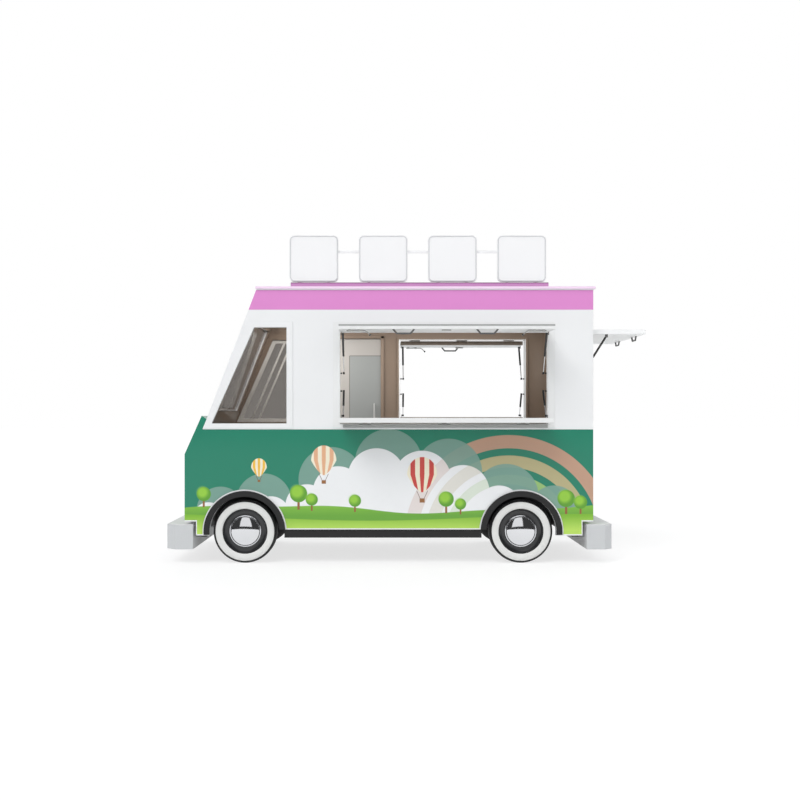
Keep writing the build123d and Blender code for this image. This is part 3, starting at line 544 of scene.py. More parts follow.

# Flaps: pale coated sandwich panels with a grey band along the top of the far edge. A thin taupe strip
# on the hinge-side edge is painted shade, and the rear flap's lighter face is painted light. Their grips,
# pins and hinge parts are grey steel.
#    flap, which way its fittings face, axis outwards, far edge, hinge edge
FLAPS = [
    ("left_upper_flap", -1, 1, 1.264, 0.8445), ("left_lower_flap", 1, 1, 1.184, 0.8445),
    ("right_upper_flap", -1, 1, 1.264, 0.8445), ("right_lower_flap", 1, 1, 1.184, 0.8445),
    ("rear_flap", -1, 0, 2.0135, 1.5655),
]
STEEL_GREY = tone(92, 92, 92)
for flap_name, way, axis, far, near in FLAPS:
    coat, x, y, z = sprayed("coat_of_" + flap_name, 0.003)
    out = abs(y) if axis == 1 else x
    if way < 0:
        fitting = z < 1.9203
        top_edge = (z > 1.9455) * (z < 1.9603)
    else:
        fitting = z > 1.2137
        top_edge = (z < 1.1765) * (z > 1.1737)
    # Painted light: the rear flap's face is a lighter white than the others, to brighten its shaded
    # underside.
    face = tone(250, 251, 251) if flap_name == "rear_flap" else PALE
    colour = coat.over(face, EDGE_GREY, top_edge * (out > far))
    # Painted shade: the taupe strip on the hinge-side edge face stands for the shade that edge lies in.
    colour = coat.over(colour, tone(136, 124, 112), (out < near + 0.0008) * (out > near - 0.003))
    wear(coat, coat.over(colour, STEEL_GREY, fitting), 0.36, 0.48, 5.0, 0.03)
    coat.bump(coat.noise(900), 0.08, 0.001)
    dress(coat, flap_name)

# Bumpers: folded steel boxes with cut corners, welded and sprayed pale grey. Their tops are painted a
# lighter grey, as painted light from above.
BUMPER_TOP = 0.3235
bumper_grey, x, y, z = sprayed("grey_bumper", 0.006, Coat_Weight=0.2)
# Painted light: the upward faces above the bumper's top line are painted lighter than the rest.
bumper_grey_with_painted_top_light = bumper_grey.over(tone(207, 209, 211), tone(240, 241, 242), z > BUMPER_TOP)
wear(bumper_grey, bumper_grey_with_painted_top_light, 0.35, 0.5, 4.0, 0.06)
dress(bumper_grey, "bumpers")

# Mouldings: arch trims, wheel wells and side skirts, all moulded in one black plastic with a fine grain
# and no paint.
moulded_black = Finish("moulded_black")
moulded_black.soft_edges(0.003)
wear(moulded_black, tone(28, 28, 29), 0.35, 0.55, 8.0, 0.2)
moulded_black.bump(moulded_black.noise(700, 2.0), 0.1, 0.001)
dress(moulded_black, "wheel_arch_trims", "wheel_wells", "side_skirts")

# Chassis and axles: welded steel rails, beams and forged knuckles under one coat of grey-green sprayed
# sealant, rough to the touch.
def plain(name, base, *levels, **uniform):
    """A finish of one colour, a little uneven."""
    finish = Finish(name, **uniform)
    wear(finish, base, *levels)
    return finish


under_coat = plain("underbody_coat", tone(74, 76, 72), 0.6, 0.8, 8.0, 0.2)
under_coat.bump(under_coat.noise(160, 4.0), 0.3, 0.002)
dress(under_coat, "chassis_frame", "front_axle", "rear_axle", "left_knuckle", "right_knuckle")

# Floor: rolled aluminium plate, left bare, with small raised lozenges for grip. They are too low to be
# shapes, so they are bumps.
deck = Finish("deck_plate", Metallic=0.8)
x, y, z, _ = deck.place()
wear(deck, tone(140, 140, 140), 0.4, 0.6, 8.0, 0.1)
lozenges = ((x + y) * 160).sine() * ((x - y) * 160).sine()
deck.bump(lozenges.soft(0.3, 0.8), 0.5, 0.002)
dress(deck, "floor")

# Cab glass: float glass, tinted warm grey in the melt, for the windscreen and the two side panes. It is
# all but smooth.
smoked = Finish("smoked_glass", Transmission_Weight=1.0, IOR=1.45)
smoked.set("Base Color", tone(174, 171, 168))
smoked.set("Roughness", smoked.noise(5.0, 3.0) * 0.03 + 0.005)
dress(smoked, "cab_glass")

# Worktops: folded sheets of stainless steel along the kitchen's sides, brushed and a little clouded by
# use.
steel = plain("brushed_steel", tone(200, 200, 198), 0.25, 0.35, 8.0, 0.1, Metallic=1.0)
dress(steel, "worktops")

# Gas struts: drawn steel barrels, painted black, with rods of hard chrome plate. The rods' eyes are
# black ball sockets, which lie on the studs.
EYE_R = 0.011
strut_black = plain("strut_black", tone(22, 22, 23), 0.25, 0.35, 20.0, 0.1, Coat_Weight=0.5)
bright_rod = Finish("bright_rod", Metallic=1.0)
x, y, z, _ = bright_rod.place()
at_jamb = (abs(abs(y) - STUD_OUT[0]) < EYE_R) * (abs(z - STUD_HEIGHTS[0]) < EYE_R)
at_flap = (abs(abs(y) - 0.915) < EYE_R) * (abs(z - 1.23) < EYE_R)
at_rear = (abs(x - STUD_OUT[1]) < EYE_R) * (abs(z - STUD_HEIGHTS[0]) < EYE_R)
eye = at_jamb.most(at_flap).most(at_rear)
wear(bright_rod, bright_rod.over(tone(210, 210, 212), tone(24, 24, 25), eye), 0.12, 0.2, 20.0, 0.05)
bright_rod.set("Metallic", 1 - eye)
for name in ("left_upper", "left_lower", "right_upper", "right_lower", "rear"):
    dress(strut_black, f"{name}_strut_barrels")
    dress(bright_rod, f"{name}_strut_rods")

# Wheels: rubber tyres with five tread ribs and a white ring moulded on the outer side, on black painted
# steel rims with domed chrome caps. Each part is turned from its profile, a ring of points as
# (radius, distance out along the axle).
WHEEL_OUT = 0.73
STEPS = 96


def clear_selection():
    """Let nothing be selected, so that only the new piece is."""
    for other in bpy.context.selected_objects:
        other.select_set(False)


def turned(name, profile, middle, turn, closed=False):
    """A ring drawn out of a circle, loop by loop, from (radius, distance along the axle) pairs.
    The axle points to -Y before the turn about the upright."""
    clear_selection()
    radius, out = profile[0]
    bpy.ops.mesh.primitive_circle_add(
        vertices=STEPS, radius=radius, location=(0, -out, 0), rotation=(math.pi / 2, 0, 0)
    )
    piece = bpy.context.object
    piece.name = name
    bpy.ops.object.transform_apply(location=True, rotation=True, scale=True)
    bpy.ops.object.mode_set(mode="EDIT")
    bpy.ops.mesh.select_all(action="SELECT")
    rounds = list(profile[1:]) + ([profile[0]] if closed else [])
    for next_radius, next_out in rounds:
        if next_radius == 0:
            bpy.ops.mesh.extrude_edges_move()
            bpy.ops.transform.translate(value=(0, out - next_out, 0))
            bpy.ops.mesh.merge(type="COLLAPSE")
            break
        bpy.ops.mesh.extrude_edges_move()
        ratio = next_radius / radius
        bpy.ops.transform.resize(value=(ratio, 1, ratio), center_override=(0, 0, 0))
        bpy.ops.transform.translate(value=(0, out - next_out, 0))
        radius, out = next_radius, next_out
    bpy.ops.mesh.select_all(action="SELECT")
    bpy.ops.mesh.remove_doubles(threshold=0.00005)
    bpy.ops.mesh.normals_make_consistent(inside=False)
    bpy.ops.object.mode_set(mode="OBJECT")
    piece.rotation_euler = (0, 0, turn)
    piece.location = middle
    bpy.ops.object.transform_apply(location=True, rotation=True, scale=True)
    bpy.ops.object.shade_smooth_by_angle(angle=math.radians(32))
    return piece


def fitted(piece, finish, body="body"):
    """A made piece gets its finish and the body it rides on."""
    piece.data.materials.clear()
    piece.data.materials.append(finish.material)
    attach(piece, body)
    return piece


TREAD_R = 0.265
GROOVE_R = 0.259
TREAD_SIDE = [
    (0.1835, 0.058), (0.188, 0.067), (0.2, 0.0735), (0.215, 0.0762), (0.232, 0.0762),
    (0.246, 0.0725), (0.256, 0.0655), (0.2625, 0.058), (TREAD_R, 0.049),
]
groove_walls = []
for middle in (0.031, 0.0105, -0.0105, -0.031):
    groove_walls += [(TREAD_R, middle + 0.003), (GROOVE_R, middle + 0.002)]
    groove_walls += [(GROOVE_R, middle - 0.002), (TREAD_R, middle - 0.003)]
TYRE_PROFILE = TREAD_SIDE + groove_walls + [(radius, -out) for radius, out in reversed(TREAD_SIDE)]
WHITE_RING = [
    (0.187, 0.064), (0.1885, 0.069), (0.193, 0.0725), (0.202, 0.0758), (0.215, 0.0778),
    (0.232, 0.0778), (0.24, 0.076), (0.245, 0.0738), (0.2462, 0.07), (0.24, 0.069),
    (0.215, 0.072),
]
RIM_PROFILE = [
    (0.183, 0.064), (0.183, 0.0672), (0.1812, 0.0688), (0.1788, 0.068), (0.176, 0.06),
    (0.172, 0.047), (0.166, 0.0425), (0.15, 0.04), (0.138, 0.041), (0.133, 0.038),
    (0.043, 0.034), (0.043, 0.015), (0.019, 0.015), (0.019, 0.029), (0.166, 0.031),
    (0.171, 0.026), (0.171, -0.06), (0.174, -0.0655), (0.183, -0.0655),
]
CAP_PROFILE = [
    (0.133, 0.0385), (0.1345, 0.0405), (0.134, 0.044), (0.1315, 0.0462), (0.1285, 0.0466),
    (0.1262, 0.0452), (0.124, 0.0462),
]
CAP_STEPS = 12
for step in range(1, CAP_STEPS):
    angle = math.pi / 2 * step / CAP_STEPS
    CAP_PROFILE.append((0.124 * math.cos(angle), 0.0462 + 0.0345 * math.sin(angle)))
CAP_PROFILE.append((0, 0.0807))

rubber = plain("tyre_rubber", tone(22, 22, 23), 0.55, 0.75, 10.0, 0.2)
rubber.bump(rubber.noise(420, 3.0), 0.12, 0.001)
white_rubber = plain("white_rubber", tone(232, 232, 230), 0.45, 0.6, 9.0, 0.06)
white_rubber.bump(white_rubber.noise(300, 3.0), 0.1, 0.001)
rim_black = plain("rim_black", tone(38, 39, 41), 0.3, 0.42, 12.0, 0.12, Coat_Weight=0.4, Coat_Roughness=0.1)
chrome = plain("chrome_cap", tone(222, 223, 226), 0.04, 0.09, 14.0, 0.04, Metallic=1.0)
for axle, axle_x in (("front", front_axle_x), ("rear", rear_axle_x)):
    for side, sign in (("left", -1), ("right", 1)):
        turn = 0 if sign < 0 else math.pi
        hub = (axle_x, sign * WHEEL_OUT, WHEEL_HEIGHT)
        for word, profile, closed, finish, slot, node in (
            ("tyre", TYRE_PROFILE, True, rubber, "tyre", "tyre"),
            ("whitewall", WHITE_RING, True, white_rubber, "tyre", None),
            ("rim", RIM_PROFILE, True, rim_black, "wheel_disc", "disc"),
            ("cap", CAP_PROFILE, False, chrome, "chrome", None),
        ):
            piece = turned(f"{axle}_{side}_{word}_turned", profile, hub, turn, closed)
            fitted(piece, finish, f"{axle}_{side}_wheel")
            if node:
                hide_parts(f"{axle}_{side}_{node}")

# Sign: four blank white light boxes on a lilac rail with a darker cap. Each box has a raised edge strip
# along its outline, front and back, and all are coated sheet metal.
def tube(name, points, radius, finish, body="body", closed=False):
    """A round bar along points, from a curve of that thickness, as no primitive bends along a path."""
    clear_selection()
    curve = bpy.data.curves.new(name, "CURVE")
    curve.dimensions = "3D"
    curve.bevel_depth = radius
    curve.bevel_resolution = 2
    curve.use_fill_caps = not closed
    spline = curve.splines.new("POLY")
    spline.points.add(len(points) - 1)
    spline.use_cyclic_u = closed
    for point, place in zip(spline.points, points):
        point.co = (*place, 1)
    holder = bpy.data.objects.new(name, curve)
    bpy.context.scene.collection.objects.link(holder)
    holder.select_set(True)
    bpy.context.view_layer.objects.active = holder
    bpy.ops.object.convert(target="MESH")
    bpy.ops.object.shade_smooth_by_angle(angle=math.radians(40))
    return fitted(bpy.context.object, finish, body)


def rounded_corners(width, height, corner, steps=5):
    """Points round a rectangle with rounded corners, as (across, up)."""
    points = []
    for number, (side, top) in enumerate(((1, 1), (-1, 1), (-1, -1), (1, -1))):
        middle = (side * (width / 2 - corner), top * (height / 2 - corner))
        for step in range(steps + 1):
            angle = math.pi / 2 * (number + step / steps)
            points.append((middle[0] + corner * math.cos(angle), middle[1] + corner * math.sin(angle)))
    return points


def rounded_edges(piece, radius, segments):
    """Bevel every sharp edge of a piece."""
    bevel = piece.modifiers.new("bevel", "BEVEL")
    bevel.width = radius
    bevel.segments = segments
    bpy.ops.object.modifier_apply(modifier=bevel.name)


def block(name, low, high, radius, segments):
    """A block between two corners, its edges rounded."""
    clear_selection()
    low, high = Vector(low), Vector(high)
    bpy.ops.mesh.primitive_cube_add(size=1, location=(low + high) / 2)
    piece = bpy.context.object
    piece.name = name
    piece.scale = high - low
    bpy.ops.object.transform_apply(location=True, rotation=True, scale=True)
    rounded_edges(piece, radius, segments)
    return piece


def rounded_block(name, low, high, radius, finish, body="body", segments=2):
    """A finished block."""
    piece = block(name, low, high, radius, segments)
    bpy.ops.object.shade_smooth_by_angle(angle=math.radians(40))
    return fitted(piece, finish, body)


sign_white, x, y, z = sprayed("sign_white", 0.004, Coat_Weight=0.3)
rail = z < 2.3553
wear(sign_white, sign_white.over(tone(250, 250, 251), tone(206, 140, 196), rail), 0.32, 0.44, 4.0, 0.03)
dress(sign_white, "roof_sign")
edge_strip = plain("sign_edge_strip", tone(220, 221, 223), 0.28, 0.4, 9.0, 0.05, Coat_Weight=0.4)
dark_lilac = plain("dark_lilac", tone(128, 72, 118), 0.4, 0.5, 9.0, 0.1, Coat_Weight=0.2)
SIGN_MIDDLES = (-0.7905, -0.2045, 0.3815, 0.9675)
for number, middle_x in enumerate(SIGN_MIDDLES):
    outline = rounded_corners(0.396, 0.376, 0.034)
    for word, y in (("front", -0.6905), ("back", -0.6595)):
        points = [(middle_x + across, y, 2.56 + up) for across, up in outline]
        tube(f"sign_{number}_{word}_edge", points, 0.0045, edge_strip, closed=True)
low, high = (-0.9855, -0.7065, 2.349), (1.1915, -0.6435, 2.356)
rounded_block("sign_rail_cap", low, high, 0.002, dark_lilac)

# Latches of the upper flaps: bent arms of steel rod with black knobs, held in moulded grey clips, and a
# lock between the grips. All of them are bolted to the flap's underside.
black_knob = plain("black_knob", tone(26, 26, 27), 0.3, 0.45, 40.0, 0.1, Coat_Weight=0.3)
satin_steel = plain("satin_steel", tone(168, 168, 167), 0.25, 0.38, 30.0, 0.06, Metallic=1.0)
latch_grey = plain("latch_grey", tone(188, 188, 186), 0.35, 0.5, 30.0, 0.05)
UNDERSIDE = 1.921
#    flap, lowest and highest x, place outwards, its arms as word, end and way
LATCHES = [
    ("left_upper_flap", -0.5585, 1.1625, -1.205, (("front", -0.5585, 1), ("rear", 1.1625, -1))),
    ("right_upper_flap", -0.0345, 1.1675, 1.205, (("front", -0.0345, 1),)),
]
for flap_name, first, last, y, arms in LATCHES:
    body = flap_name + "_body"
    for word, end, way in arms:
        foot, bend = end + way * 0.062, end + way * 0.205
        crook = [(end + way * 0.226, y, 1.902), (end + way * 0.246, y, 1.882)]
        arm = [(foot, y, 1.9125), (bend, y, 1.9125)] + crook
        knob = [crook[1], (end + way * 0.254, y, 1.874)]
        tube(f"{flap_name}_{word}_arm", arm, 0.0042, satin_steel, body)
        tube(f"{flap_name}_{word}_knob", knob, 0.0085, black_knob, body)
        for clip, reach in enumerate((0.01, 0.085)):
            start, stop = sorted((foot + way * reach, foot + way * (reach + 0.022)))
            low, high = (start, y - 0.014, 1.906), (stop, y + 0.014, UNDERSIDE)
            name = f"{flap_name}_{word}_clip_{clip}"
            rounded_block(name, low, high, 0.003, latch_grey, body)
    middle = (first + last) / 2
    low, high = (middle - 0.038, y - 0.022, 1.911), (middle + 0.038, y + 0.022, UNDERSIDE)
    rounded_block(f"{flap_name}_lock", low, high, 0.004, latch_grey, body)

# Windscreen fittings: an extruded rubber gasket round the pane, and two wipers of black painted steel
# with rubber blades, at rest along its foot.
screen_lean = math.atan(SCREEN_SLOPE)


def on_screen(across, height, out):
    """A point above the windscreen's plane, by its place across, its height and its distance out."""
    x = SCREEN_FOOT[0] + SCREEN_SLOPE * (height - SCREEN_FOOT[1]) - out * math.cos(screen_lean)
    return (x, across, height + out * math.sin(screen_lean))


gasket = plain("gasket_rubber", tone(30, 30, 31), 0.55, 0.7, 20.0, 0.1)
outline = [on_screen(across, 1.6575 + up, -0.004) for across, up in rounded_corners(1.352, 0.757, 0.02)]
tube("windscreen_gasket", outline, 0.006, gasket, closed=True)
for word, pivot, tip in (("left", -0.42, 0.02), ("right", 0.18, 0.62)):
    foot = on_screen(pivot, 1.243, 0.012)
    elbow = on_screen(pivot + 0.03, 1.275, 0.022)
    grip = on_screen((pivot + tip) / 2, 1.3, 0.012)
    tube(f"{word}_wiper_arm", [foot, elbow, grip], 0.005, gasket)
    blade = [on_screen(pivot + 0.02, 1.294, 0.006), on_screen(tip, 1.306, 0.006)]
    tube(f"{word}_wiper_blade", blade, 0.0045, gasket)
    spindle = [on_screen(pivot, 1.243, -0.002), on_screen(pivot, 1.243, 0.018)]
    tube(f"{word}_wiper_spindle", spindle, 0.011, gasket)

# Cab side windows: the right pane has a sliding sash behind it, a pale moulded frame with two slanted
# bars, which shows through the left window as well.
pale_moulding = plain("pale_moulding", tone(214, 212, 207), 0.4, 0.55, 10.0, 0.05)
CAB_OPENING = [(-1.6335, 1.167), (-1.2795, 1.967), (-1.0095, 1.967), (-1.0095, 1.167)]


def outline_ring(name, outline, width, y, depth, finish):
    """A flat ring inside an outline in side view, drawn out to its depth, with rounded edges."""
    clear_selection()
    bpy.ops.mesh.primitive_plane_add(size=1)
    piece = bpy.context.object
    piece.name = name
    for vertex, (x, z) in zip(piece.data.vertices, (outline[3], outline[0], outline[2], outline[1])):
        vertex.co = (x, y, z)
    bpy.ops.object.mode_set(mode="EDIT")
    bpy.ops.mesh.select_all(action="SELECT")
    bpy.ops.mesh.inset(thickness=width)
    bpy.ops.mesh.delete(type="FACE")
    bpy.ops.mesh.select_all(action="SELECT")
    bpy.ops.mesh.extrude_region_move(TRANSFORM_OT_translate={"value": (0, depth, 0)})
    bpy.ops.mesh.select_all(action="SELECT")
    bpy.ops.mesh.normals_make_consistent(inside=False)
    bpy.ops.object.mode_set(mode="OBJECT")
    rounded_edges(piece, 0.003, 2)
    bpy.ops.object.shade_smooth_by_angle(angle=math.radians(40))
    return fitted(piece, finish)


outline_ring("right_cab_sash", CAB_OPENING, 0.034, 0.8, -0.014, pale_moulding)
SASH_BARS = [(-1.5, -1.18), (-1.43, -1.11)]
for number, (foot_x, head_x) in enumerate(SASH_BARS):
    bar_outline = [(foot_x, 1.195), (head_x, 1.94), (head_x + 0.02, 1.94), (foot_x + 0.02, 1.195)]
    bar_name = f"right_sash_bar_{number}"
    outline_ring(bar_name, bar_outline, 0.0096, 0.798, -0.01, pale_moulding)

# Headlamps: each has a chromed bezel, a silvered bowl with its bulb, and a domed clear glass with fine
# upright ribs. All are turned from profiles about the lamp's axis.
clear_glass = Finish("clear_glass", Roughness=0.03, Transmission_Weight=1.0, IOR=1.45)
x, y, z, _ = clear_glass.place()
clear_glass.bump((y * 420).sine(), 0.25, 0.001)
silvered = plain("silvered_bowl", tone(226, 227, 230), 0.06, 0.12, 30.0, 0.04, Metallic=1.0)
LAMP_BACK = -1.8295
BEZEL = [
    (0.0672, 0.001), (0.0735, 0.001), (0.0735, 0.03), (0.079, 0.0302), (0.08, 0.033),
    (0.078, 0.0362), (0.074, 0.0372), (0.0695, 0.0345), (0.0672, 0.031),
]
BOWL = [
    (0.0668, 0.029), (0.06, 0.0205), (0.048, 0.013), (0.032, 0.0075), (0.015, 0.0045),
    (0.015, 0.002), (0.03, 0.004), (0.05, 0.011), (0.064, 0.02), (0.0672, 0.028),
]
BULB = [(0.015, 0.003), (0.012, 0.006), (0.011, 0.016), (0.008, 0.0205), (0.004, 0.0225), (0, 0.023)]
GLASS_DOME = [
    (0.0668, 0.029), (0.0668, 0.0315), (0.06, 0.0372), (0.045, 0.0412), (0.025, 0.0436), (0, 0.0445),
]
for word, y in (("left", -0.6), ("right", 0.6)):
    hub = (LAMP_BACK, y, 0.7)
    for part, profile, closed, finish, slot in (
        ("bezel", BEZEL, True, chrome, "chrome"),
        ("bowl", BOWL, True, silvered, "chrome"),
        ("bulb", BULB, False, clear_glass, "lamp_lens"),
        ("glass", GLASS_DOME, False, clear_glass, "lamp_lens"),
    ):
        piece = turned(f"{word}_headlamp_{part}", profile, hub, -math.pi / 2, closed)
        fitted(piece, finish)
        if part == "bowl":
            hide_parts("lamps")

# Tail lamps: a black moulded tray with three lenses one above the other, red, amber and clear. The
# lenses are moulded in clear plastic with level ribs.
tray_black = plain("lamp_tray", tone(28, 28, 29), 0.45, 0.6, 20.0, 0.1)
#    word, colour, lowest and highest z
LENSES = [
    ("red", tone(196, 22, 24), 0.688, 0.757),
    ("amber", tone(232, 128, 20), 0.7585, 0.795),
    ("clear", tone(232, 234, 236), 0.7965, 0.832),
]
lens_finishes = {}
for word, colour, low, high in LENSES:
    lens = Finish(f"{word}_lens", Coat_Weight=1.0, Coat_Roughness=0.04, Subsurface_Weight=0.25)
    x, y, z, _ = lens.place()
    wear(lens, colour, 0.12, 0.2, 30.0, 0.05)
    lens.bump((z * 900).sine(), 0.35, 0.0012)
    lens_finishes[word] = lens
for side_name, y in (("left", -0.69), ("right", 0.69)):
    low, high = (1.517, y - 0.034, 0.686), (1.54, y + 0.034, 0.834)
    rounded_block(f"{side_name}_tail_tray", low, high, 0.003, tray_black)
    for word, colour, low, high in LENSES:
        near, far = (1.5385, y - 0.0325, low), (1.5525, y + 0.0325, high)
        lens = lens_finishes[word]
        rounded_block(f"{side_name}_tail_{word}", near, far, 0.005, lens, segments=3)

# Number plates: blank plates of pressed aluminium, painted white, with a raised black edge line and two
# screws each.
plate_white = plain("plate_white", tone(236, 237, 233), 0.25, 0.35, 20.0, 0.04, Coat_Weight=0.3)
PLATE = (0.44, 0.104)
for word, x, way, z in (("front", -1.8595, -1, 0.437), ("rear", 1.5465, 1, 0.455)):
    near, far = sorted((x, x + way * 0.005))
    low, high = (near, -PLATE[0] / 2, z - PLATE[1] / 2), (far, PLATE[0] / 2, z + PLATE[1] / 2)
    rounded_block(f"{word}_plate", low, high, 0.002, plate_white)
    edge = [(x + way * 0.005, across, z + up) for across, up in rounded_corners(0.424, 0.088, 0.012)]
    tube(f"{word}_plate_line", edge, 0.0016, tray_black, closed=True)
    for number, y in enumerate((-0.12, 0.12)):
        screw = [(x + way * 0.004, y, z), (x + way * 0.008, y, z)]
        tube(f"{word}_plate_screw_{number}", screw, 0.005, satin_steel)

# Charging inlet: a grained grey housing with a black insulating disc at the end of its socket, five brass
# pins and four screws at its corners.
INLET_Y = -0.43
INLET_Z = 0.64
moulded_grey = plain("moulded_grey", tone(110, 108, 105), 0.5, 0.65, 8.0, 0.1)
moulded_grey.bump(moulded_grey.noise(400, 3.0), 0.15, 0.001)
dress(moulded_grey, "power_inlet")
insulator = plain("inlet_insulator", tone(38, 38, 40), 0.4, 0.55, 30.0, 0.1)
pin_brass = plain("pin_brass", tone(190, 160, 96), 0.2, 0.32, 60.0, 0.08, Metallic=1.0)
inlet_disc = [(1.5068, INLET_Y, INLET_Z), (1.5108, INLET_Y, INLET_Z)]
tube("inlet_disc", inlet_disc, 0.0262, insulator)
for number in range(5):
    angle = 2 * math.pi * number / 5 + math.pi / 2
    y, z = INLET_Y + 0.015 * math.cos(angle), INLET_Z + 0.015 * math.sin(angle)
    tube(f"inlet_pin_{number}", [(1.509, y, z), (1.533, y, z)], 0.0026, pin_brass)
for number, (y, z) in enumerate(((-0.476, 0.594), (-0.384, 0.594), (-0.476, 0.69), (-0.384, 0.69))):
    tube(f"inlet_screw_{number}", [(1.554, y, z), (1.5575, y, z)], 0.0045, satin_steel)

# Entry door: a flat door sprayed white outside, with pale brown lining and a grey panel inside, and its
# pull and hinges of satin steel. A wooden stop frame lines the doorway. A key lock lies below the pull, and
# a bent grip is inside.
PANEL_TOP = 1.812
PANEL_FRONT = -0.534
FITTINGS_OUT = 0.8265
door_white, x, y, z = sprayed("white_door", 0.004, Coat_Weight=0.3)
inner_face = 1 - y.soft(INNER_SIDE - 0.001, INNER_SIDE)
upper = (z > PANEL_TOP).most(x < PANEL_FRONT)
door_inside = door_white.over(tone(146, 149, 147), tone(172, 168, 163), upper)
groove = (abs(z - PANEL_TOP) < 0.004) * (x > PANEL_FRONT)
groove = groove.most((abs(x - PANEL_FRONT) < 0.004) * (z < PANEL_TOP))
door_inside = door_white.over(door_inside, tone(120, 118, 114), groove)
door_colour = door_white.over(WHITE, door_inside, inner_face)
fitting = y > FITTINGS_OUT
wear(door_white, door_white.over(door_colour, tone(176, 177, 178), fitting), 0.3, 0.42, 4.0, 0.04)
door_white.set("Metallic", fitting)
dress(door_white, "entry_door")
lining_brown = plain("lining_brown", BROWN, 0.4, 0.55, 6.0, 0.05)
for word, low, high in (
    ("front", (-0.864, 0.744, 0.462), (-0.835, 0.7635, 2.006)),
    ("rear", (-0.229, 0.744, 0.462), (-0.199, 0.7635, 2.006)),
    ("head", (-0.864, 0.744, 1.979), (-0.199, 0.7635, 2.009)),
):
    rounded_block(f"door_stop_{word}", low, high, 0.003, lining_brown)
lock_barrel = [(-0.2925, 0.824, 1.08), (-0.2925, 0.833, 1.08)]
tube("door_lock", lock_barrel, 0.013, satin_steel, "entry_door_body")
grip = [(-0.2925, 0.765, 1.16), (-0.2925, 0.73, 1.16), (-0.2925, 0.73, 1.34), (-0.2925, 0.765, 1.34)]
tube("door_inner_grip", grip, 0.008, latch_grey, "entry_door_body")

# Driver's seat: two stuffed pads of black grained hide, sewn in channels and blown up as cloth, on a
# painted steel pan, pedestal and rails.
hide = plain("seat_hide", tone(44, 44, 47), 0.42, 0.58, 14.0, 0.14)
hide.bump(hide.noise(520, 3.0, 0.55), 0.22, 0.0012)
hide.bump(hide.noise(90, 3.0, 0.5), 0.15, 0.002)
seat_steel = plain("seat_steel", tone(62, 63, 65), 0.4, 0.55, 12.0, 0.1, Coat_Weight=0.1)


def cushion(name, low, high, axis, seams, cap):
    """A stuffed pad between two corners. Its seams, as places along one axis, are held while it swells."""
    pad = block(name, low, high, 0.026, 4)
    remesh = pad.modifiers.new("remesh", "REMESH")
    remesh.mode = "VOXEL"
    remesh.voxel_size = 0.006
    bpy.ops.object.modifier_apply(modifier=remesh.name)
    start = [vertex.co.copy() for vertex in pad.data.vertices]
    held = pad.vertex_groups.new(name="held")
    sewn = []
    for vertex in pad.data.vertices:
        if min(abs(vertex.co[axis] - seam) for seam in seams) < 0.0045:
            sewn.append(vertex.index)
    held.add(sewn, 1.0, "REPLACE")
    cloth = pad.modifiers.new("cloth", "CLOTH")
    cloth.settings.use_pressure = True
    cloth.settings.uniform_pressure_force = 4
    cloth.settings.vertex_group_mass = "held"
    cloth.settings.effector_weights.gravity = 0
    for number in range(1, 21):
        bpy.context.scene.frame_set(number)
    bpy.ops.object.modifier_apply(modifier=cloth.name)
    bpy.context.scene.frame_set(1)
    for vertex, place in zip(pad.data.vertices, start):
        moved = vertex.co - place
        if moved.length > cap:
            vertex.co = place + moved * (cap / moved.length)
    finer = pad.modifiers.new("finer", "SUBSURF")
    finer.levels = 1
    finer.render_levels = 1
    bpy.ops.object.modifier_apply(modifier=finer.name)
    bpy.ops.object.shade_smooth()
    return fitted(pad, hide)


cushion("seat_pad", (-1.185, -0.56, 0.708), (-0.815, -0.12, 0.778), 0, (-1.09, -1.0, -0.91), 0.022)
cushion("back_pad", (-0.8, -0.548, 0.8), (-0.735, -0.132, 1.126), 2, (0.88, 0.96, 1.04), 0.022)
low, high = (-1.13, -0.47, 0.475), (-0.83, -0.21, 0.695)
pedestal = rounded_block("seat_pedestal", low, high, 0.012, seat_steel)
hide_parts("driver_seat")
for word, y in (("left", -0.47), ("right", -0.21)):
    low, high = (-1.1575, y - 0.014, 0.4605), (-0.7975, y + 0.014, 0.48)
    rounded_block(f"{word}_seat_rail", low, high, 0.003, satin_steel)
low, high = (-1.185, -0.555, 0.69), (-0.775, -0.125, 0.712)
rounded_block("seat_pan", low, high, 0.008, seat_steel)

# Steering wheel: a rim bound in the seat's black hide on three flat moulded spokes, with a round boss
# and its column shroud.
WHEEL_MIDDLE = Vector((-1.3875, -0.34, 1.015))
wheel_turn = Matrix.Rotation(math.radians(-58), 4, "Y")


def on_wheel(piece, turn):
    """Move a piece made at the origin, after a turn of its own, to the steering wheel's place and tilt."""
    piece.data.transform(Matrix.Translation(WHEEL_MIDDLE) @ wheel_turn @ turn)
    return piece


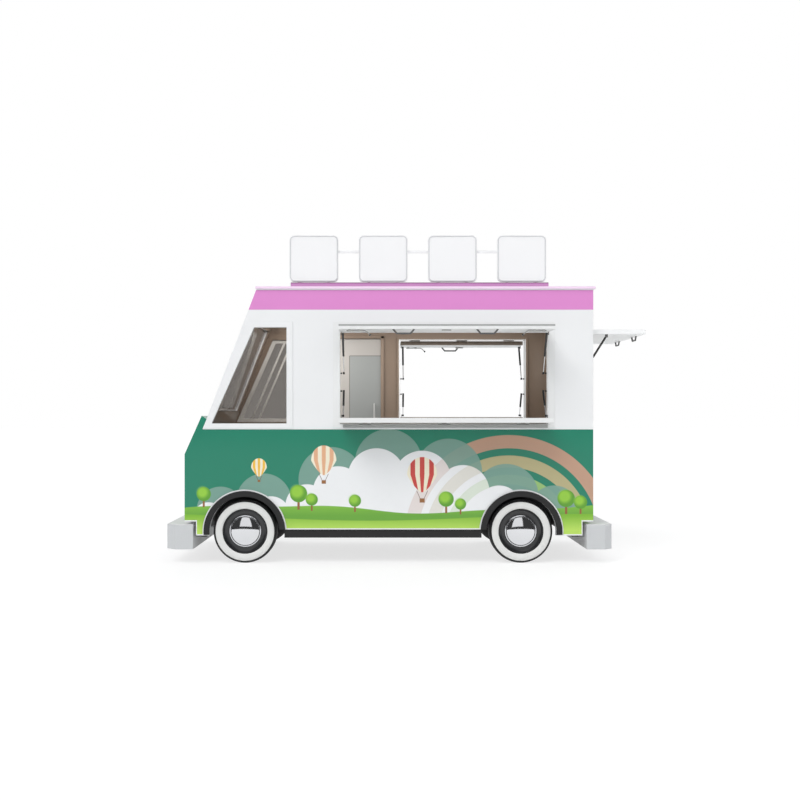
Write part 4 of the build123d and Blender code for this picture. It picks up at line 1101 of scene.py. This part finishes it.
clear_selection()
bpy.ops.mesh.primitive_torus_add(
    major_radius=0.165, minor_radius=0.0135, major_segments=72, minor_segments=14
)
rim = bpy.context.object
rim.name = "steering_rim"
bpy.ops.object.shade_smooth()
fitted(on_wheel(rim, Matrix.Identity(4)), hide)
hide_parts("steering_wheel")
for number in range(3):
    angle = math.radians(90 + 120 * number)
    low, high = (0.02, -0.013, -0.004), (0.158, 0.013, 0.004)
    spoke = rounded_block(f"steering_spoke_{number}", low, high, 0.003, moulded_black)
    on_wheel(spoke, Matrix.Rotation(angle, 4, "Z"))
BOSS = [
    (0.038, -0.012), (0.04, 0.004), (0.036, 0.011), (0.026, 0.015), (0.012, 0.0168), (0, 0.017),
]
boss = turned("steering_boss", BOSS, (0, 0, 0), 0)
fitted(on_wheel(boss, Matrix.Rotation(math.radians(-90), 4, "X")), moulded_black)
column = [(-1.3925, -0.34, 1.012), (-1.47, -0.34, 0.964)]
tube("steering_column", column, 0.022, moulded_black)

# Dashboard: one grained grey moulding with a hooded cluster of two glazed dials behind the wheel, and
# four round vents. Two pedals hang below it on bent steel arms.
dress(moulded_grey, "dashboard")
dial_face = plain("dial_face", tone(20, 21, 24), 0.3, 0.4, 40.0, 0.1, Coat_Weight=0.8, Coat_Roughness=0.03)
low, high = (-1.59, -0.48, 1.09), (-1.495, -0.2, 1.15)
rounded_block("cluster_hood", low, high, 0.014, moulded_black, segments=3)
DIAL = [(0.04, 0.0), (0.04, 0.006), (0.037, 0.007), (0.036, 0.004), (0.02, 0.0038), (0, 0.0038)]
VENT = [
    (0.038, -0.004), (0.038, 0.006), (0.033, 0.008), (0.029, 0.006), (0.028, -0.002),
    (0.02, -0.002), (0.018, 0.003), (0, 0.004),
]
for number, y in enumerate((-0.4, -0.28)):
    dial = turned(f"dial_{number}", DIAL, (-1.495, y, 1.118), math.pi / 2)
    fitted(dial, dial_face)
for number, y in enumerate((-0.68, 0.02, 0.2, 0.68)):
    vent = turned(f"vent_{number}", VENT, (-1.4785, y, 1.036), math.pi / 2)
    fitted(vent, moulded_black)
for word, y in (("brake", -0.38), ("drive", -0.27)):
    low, high = (-1.6, y - 0.03, 0.52), (-1.585, y + 0.03, 0.6)
    rounded_block(f"{word}_pedal", low, high, 0.005, moulded_black)
    arm = [(-1.596, y, 0.59), (-1.63, y, 0.7), (-1.64, y, 0.8)]
    tube(f"{word}_pedal_arm", arm, 0.007, seat_steel)

# Battery box: a folded steel tray under the chassis's own sealant, with seven pressed ribs across its
# underside.
RIB_PITCH = 0.165
dress(under_coat, "battery_box")
for number in range(7):
    x = -0.73 + number * RIB_PITCH
    low, high = (x, -0.355, 0.229), (x + 0.04, 0.355, 0.236)
    rounded_block(f"battery_rib_{number}", low, high, 0.003, under_coat)
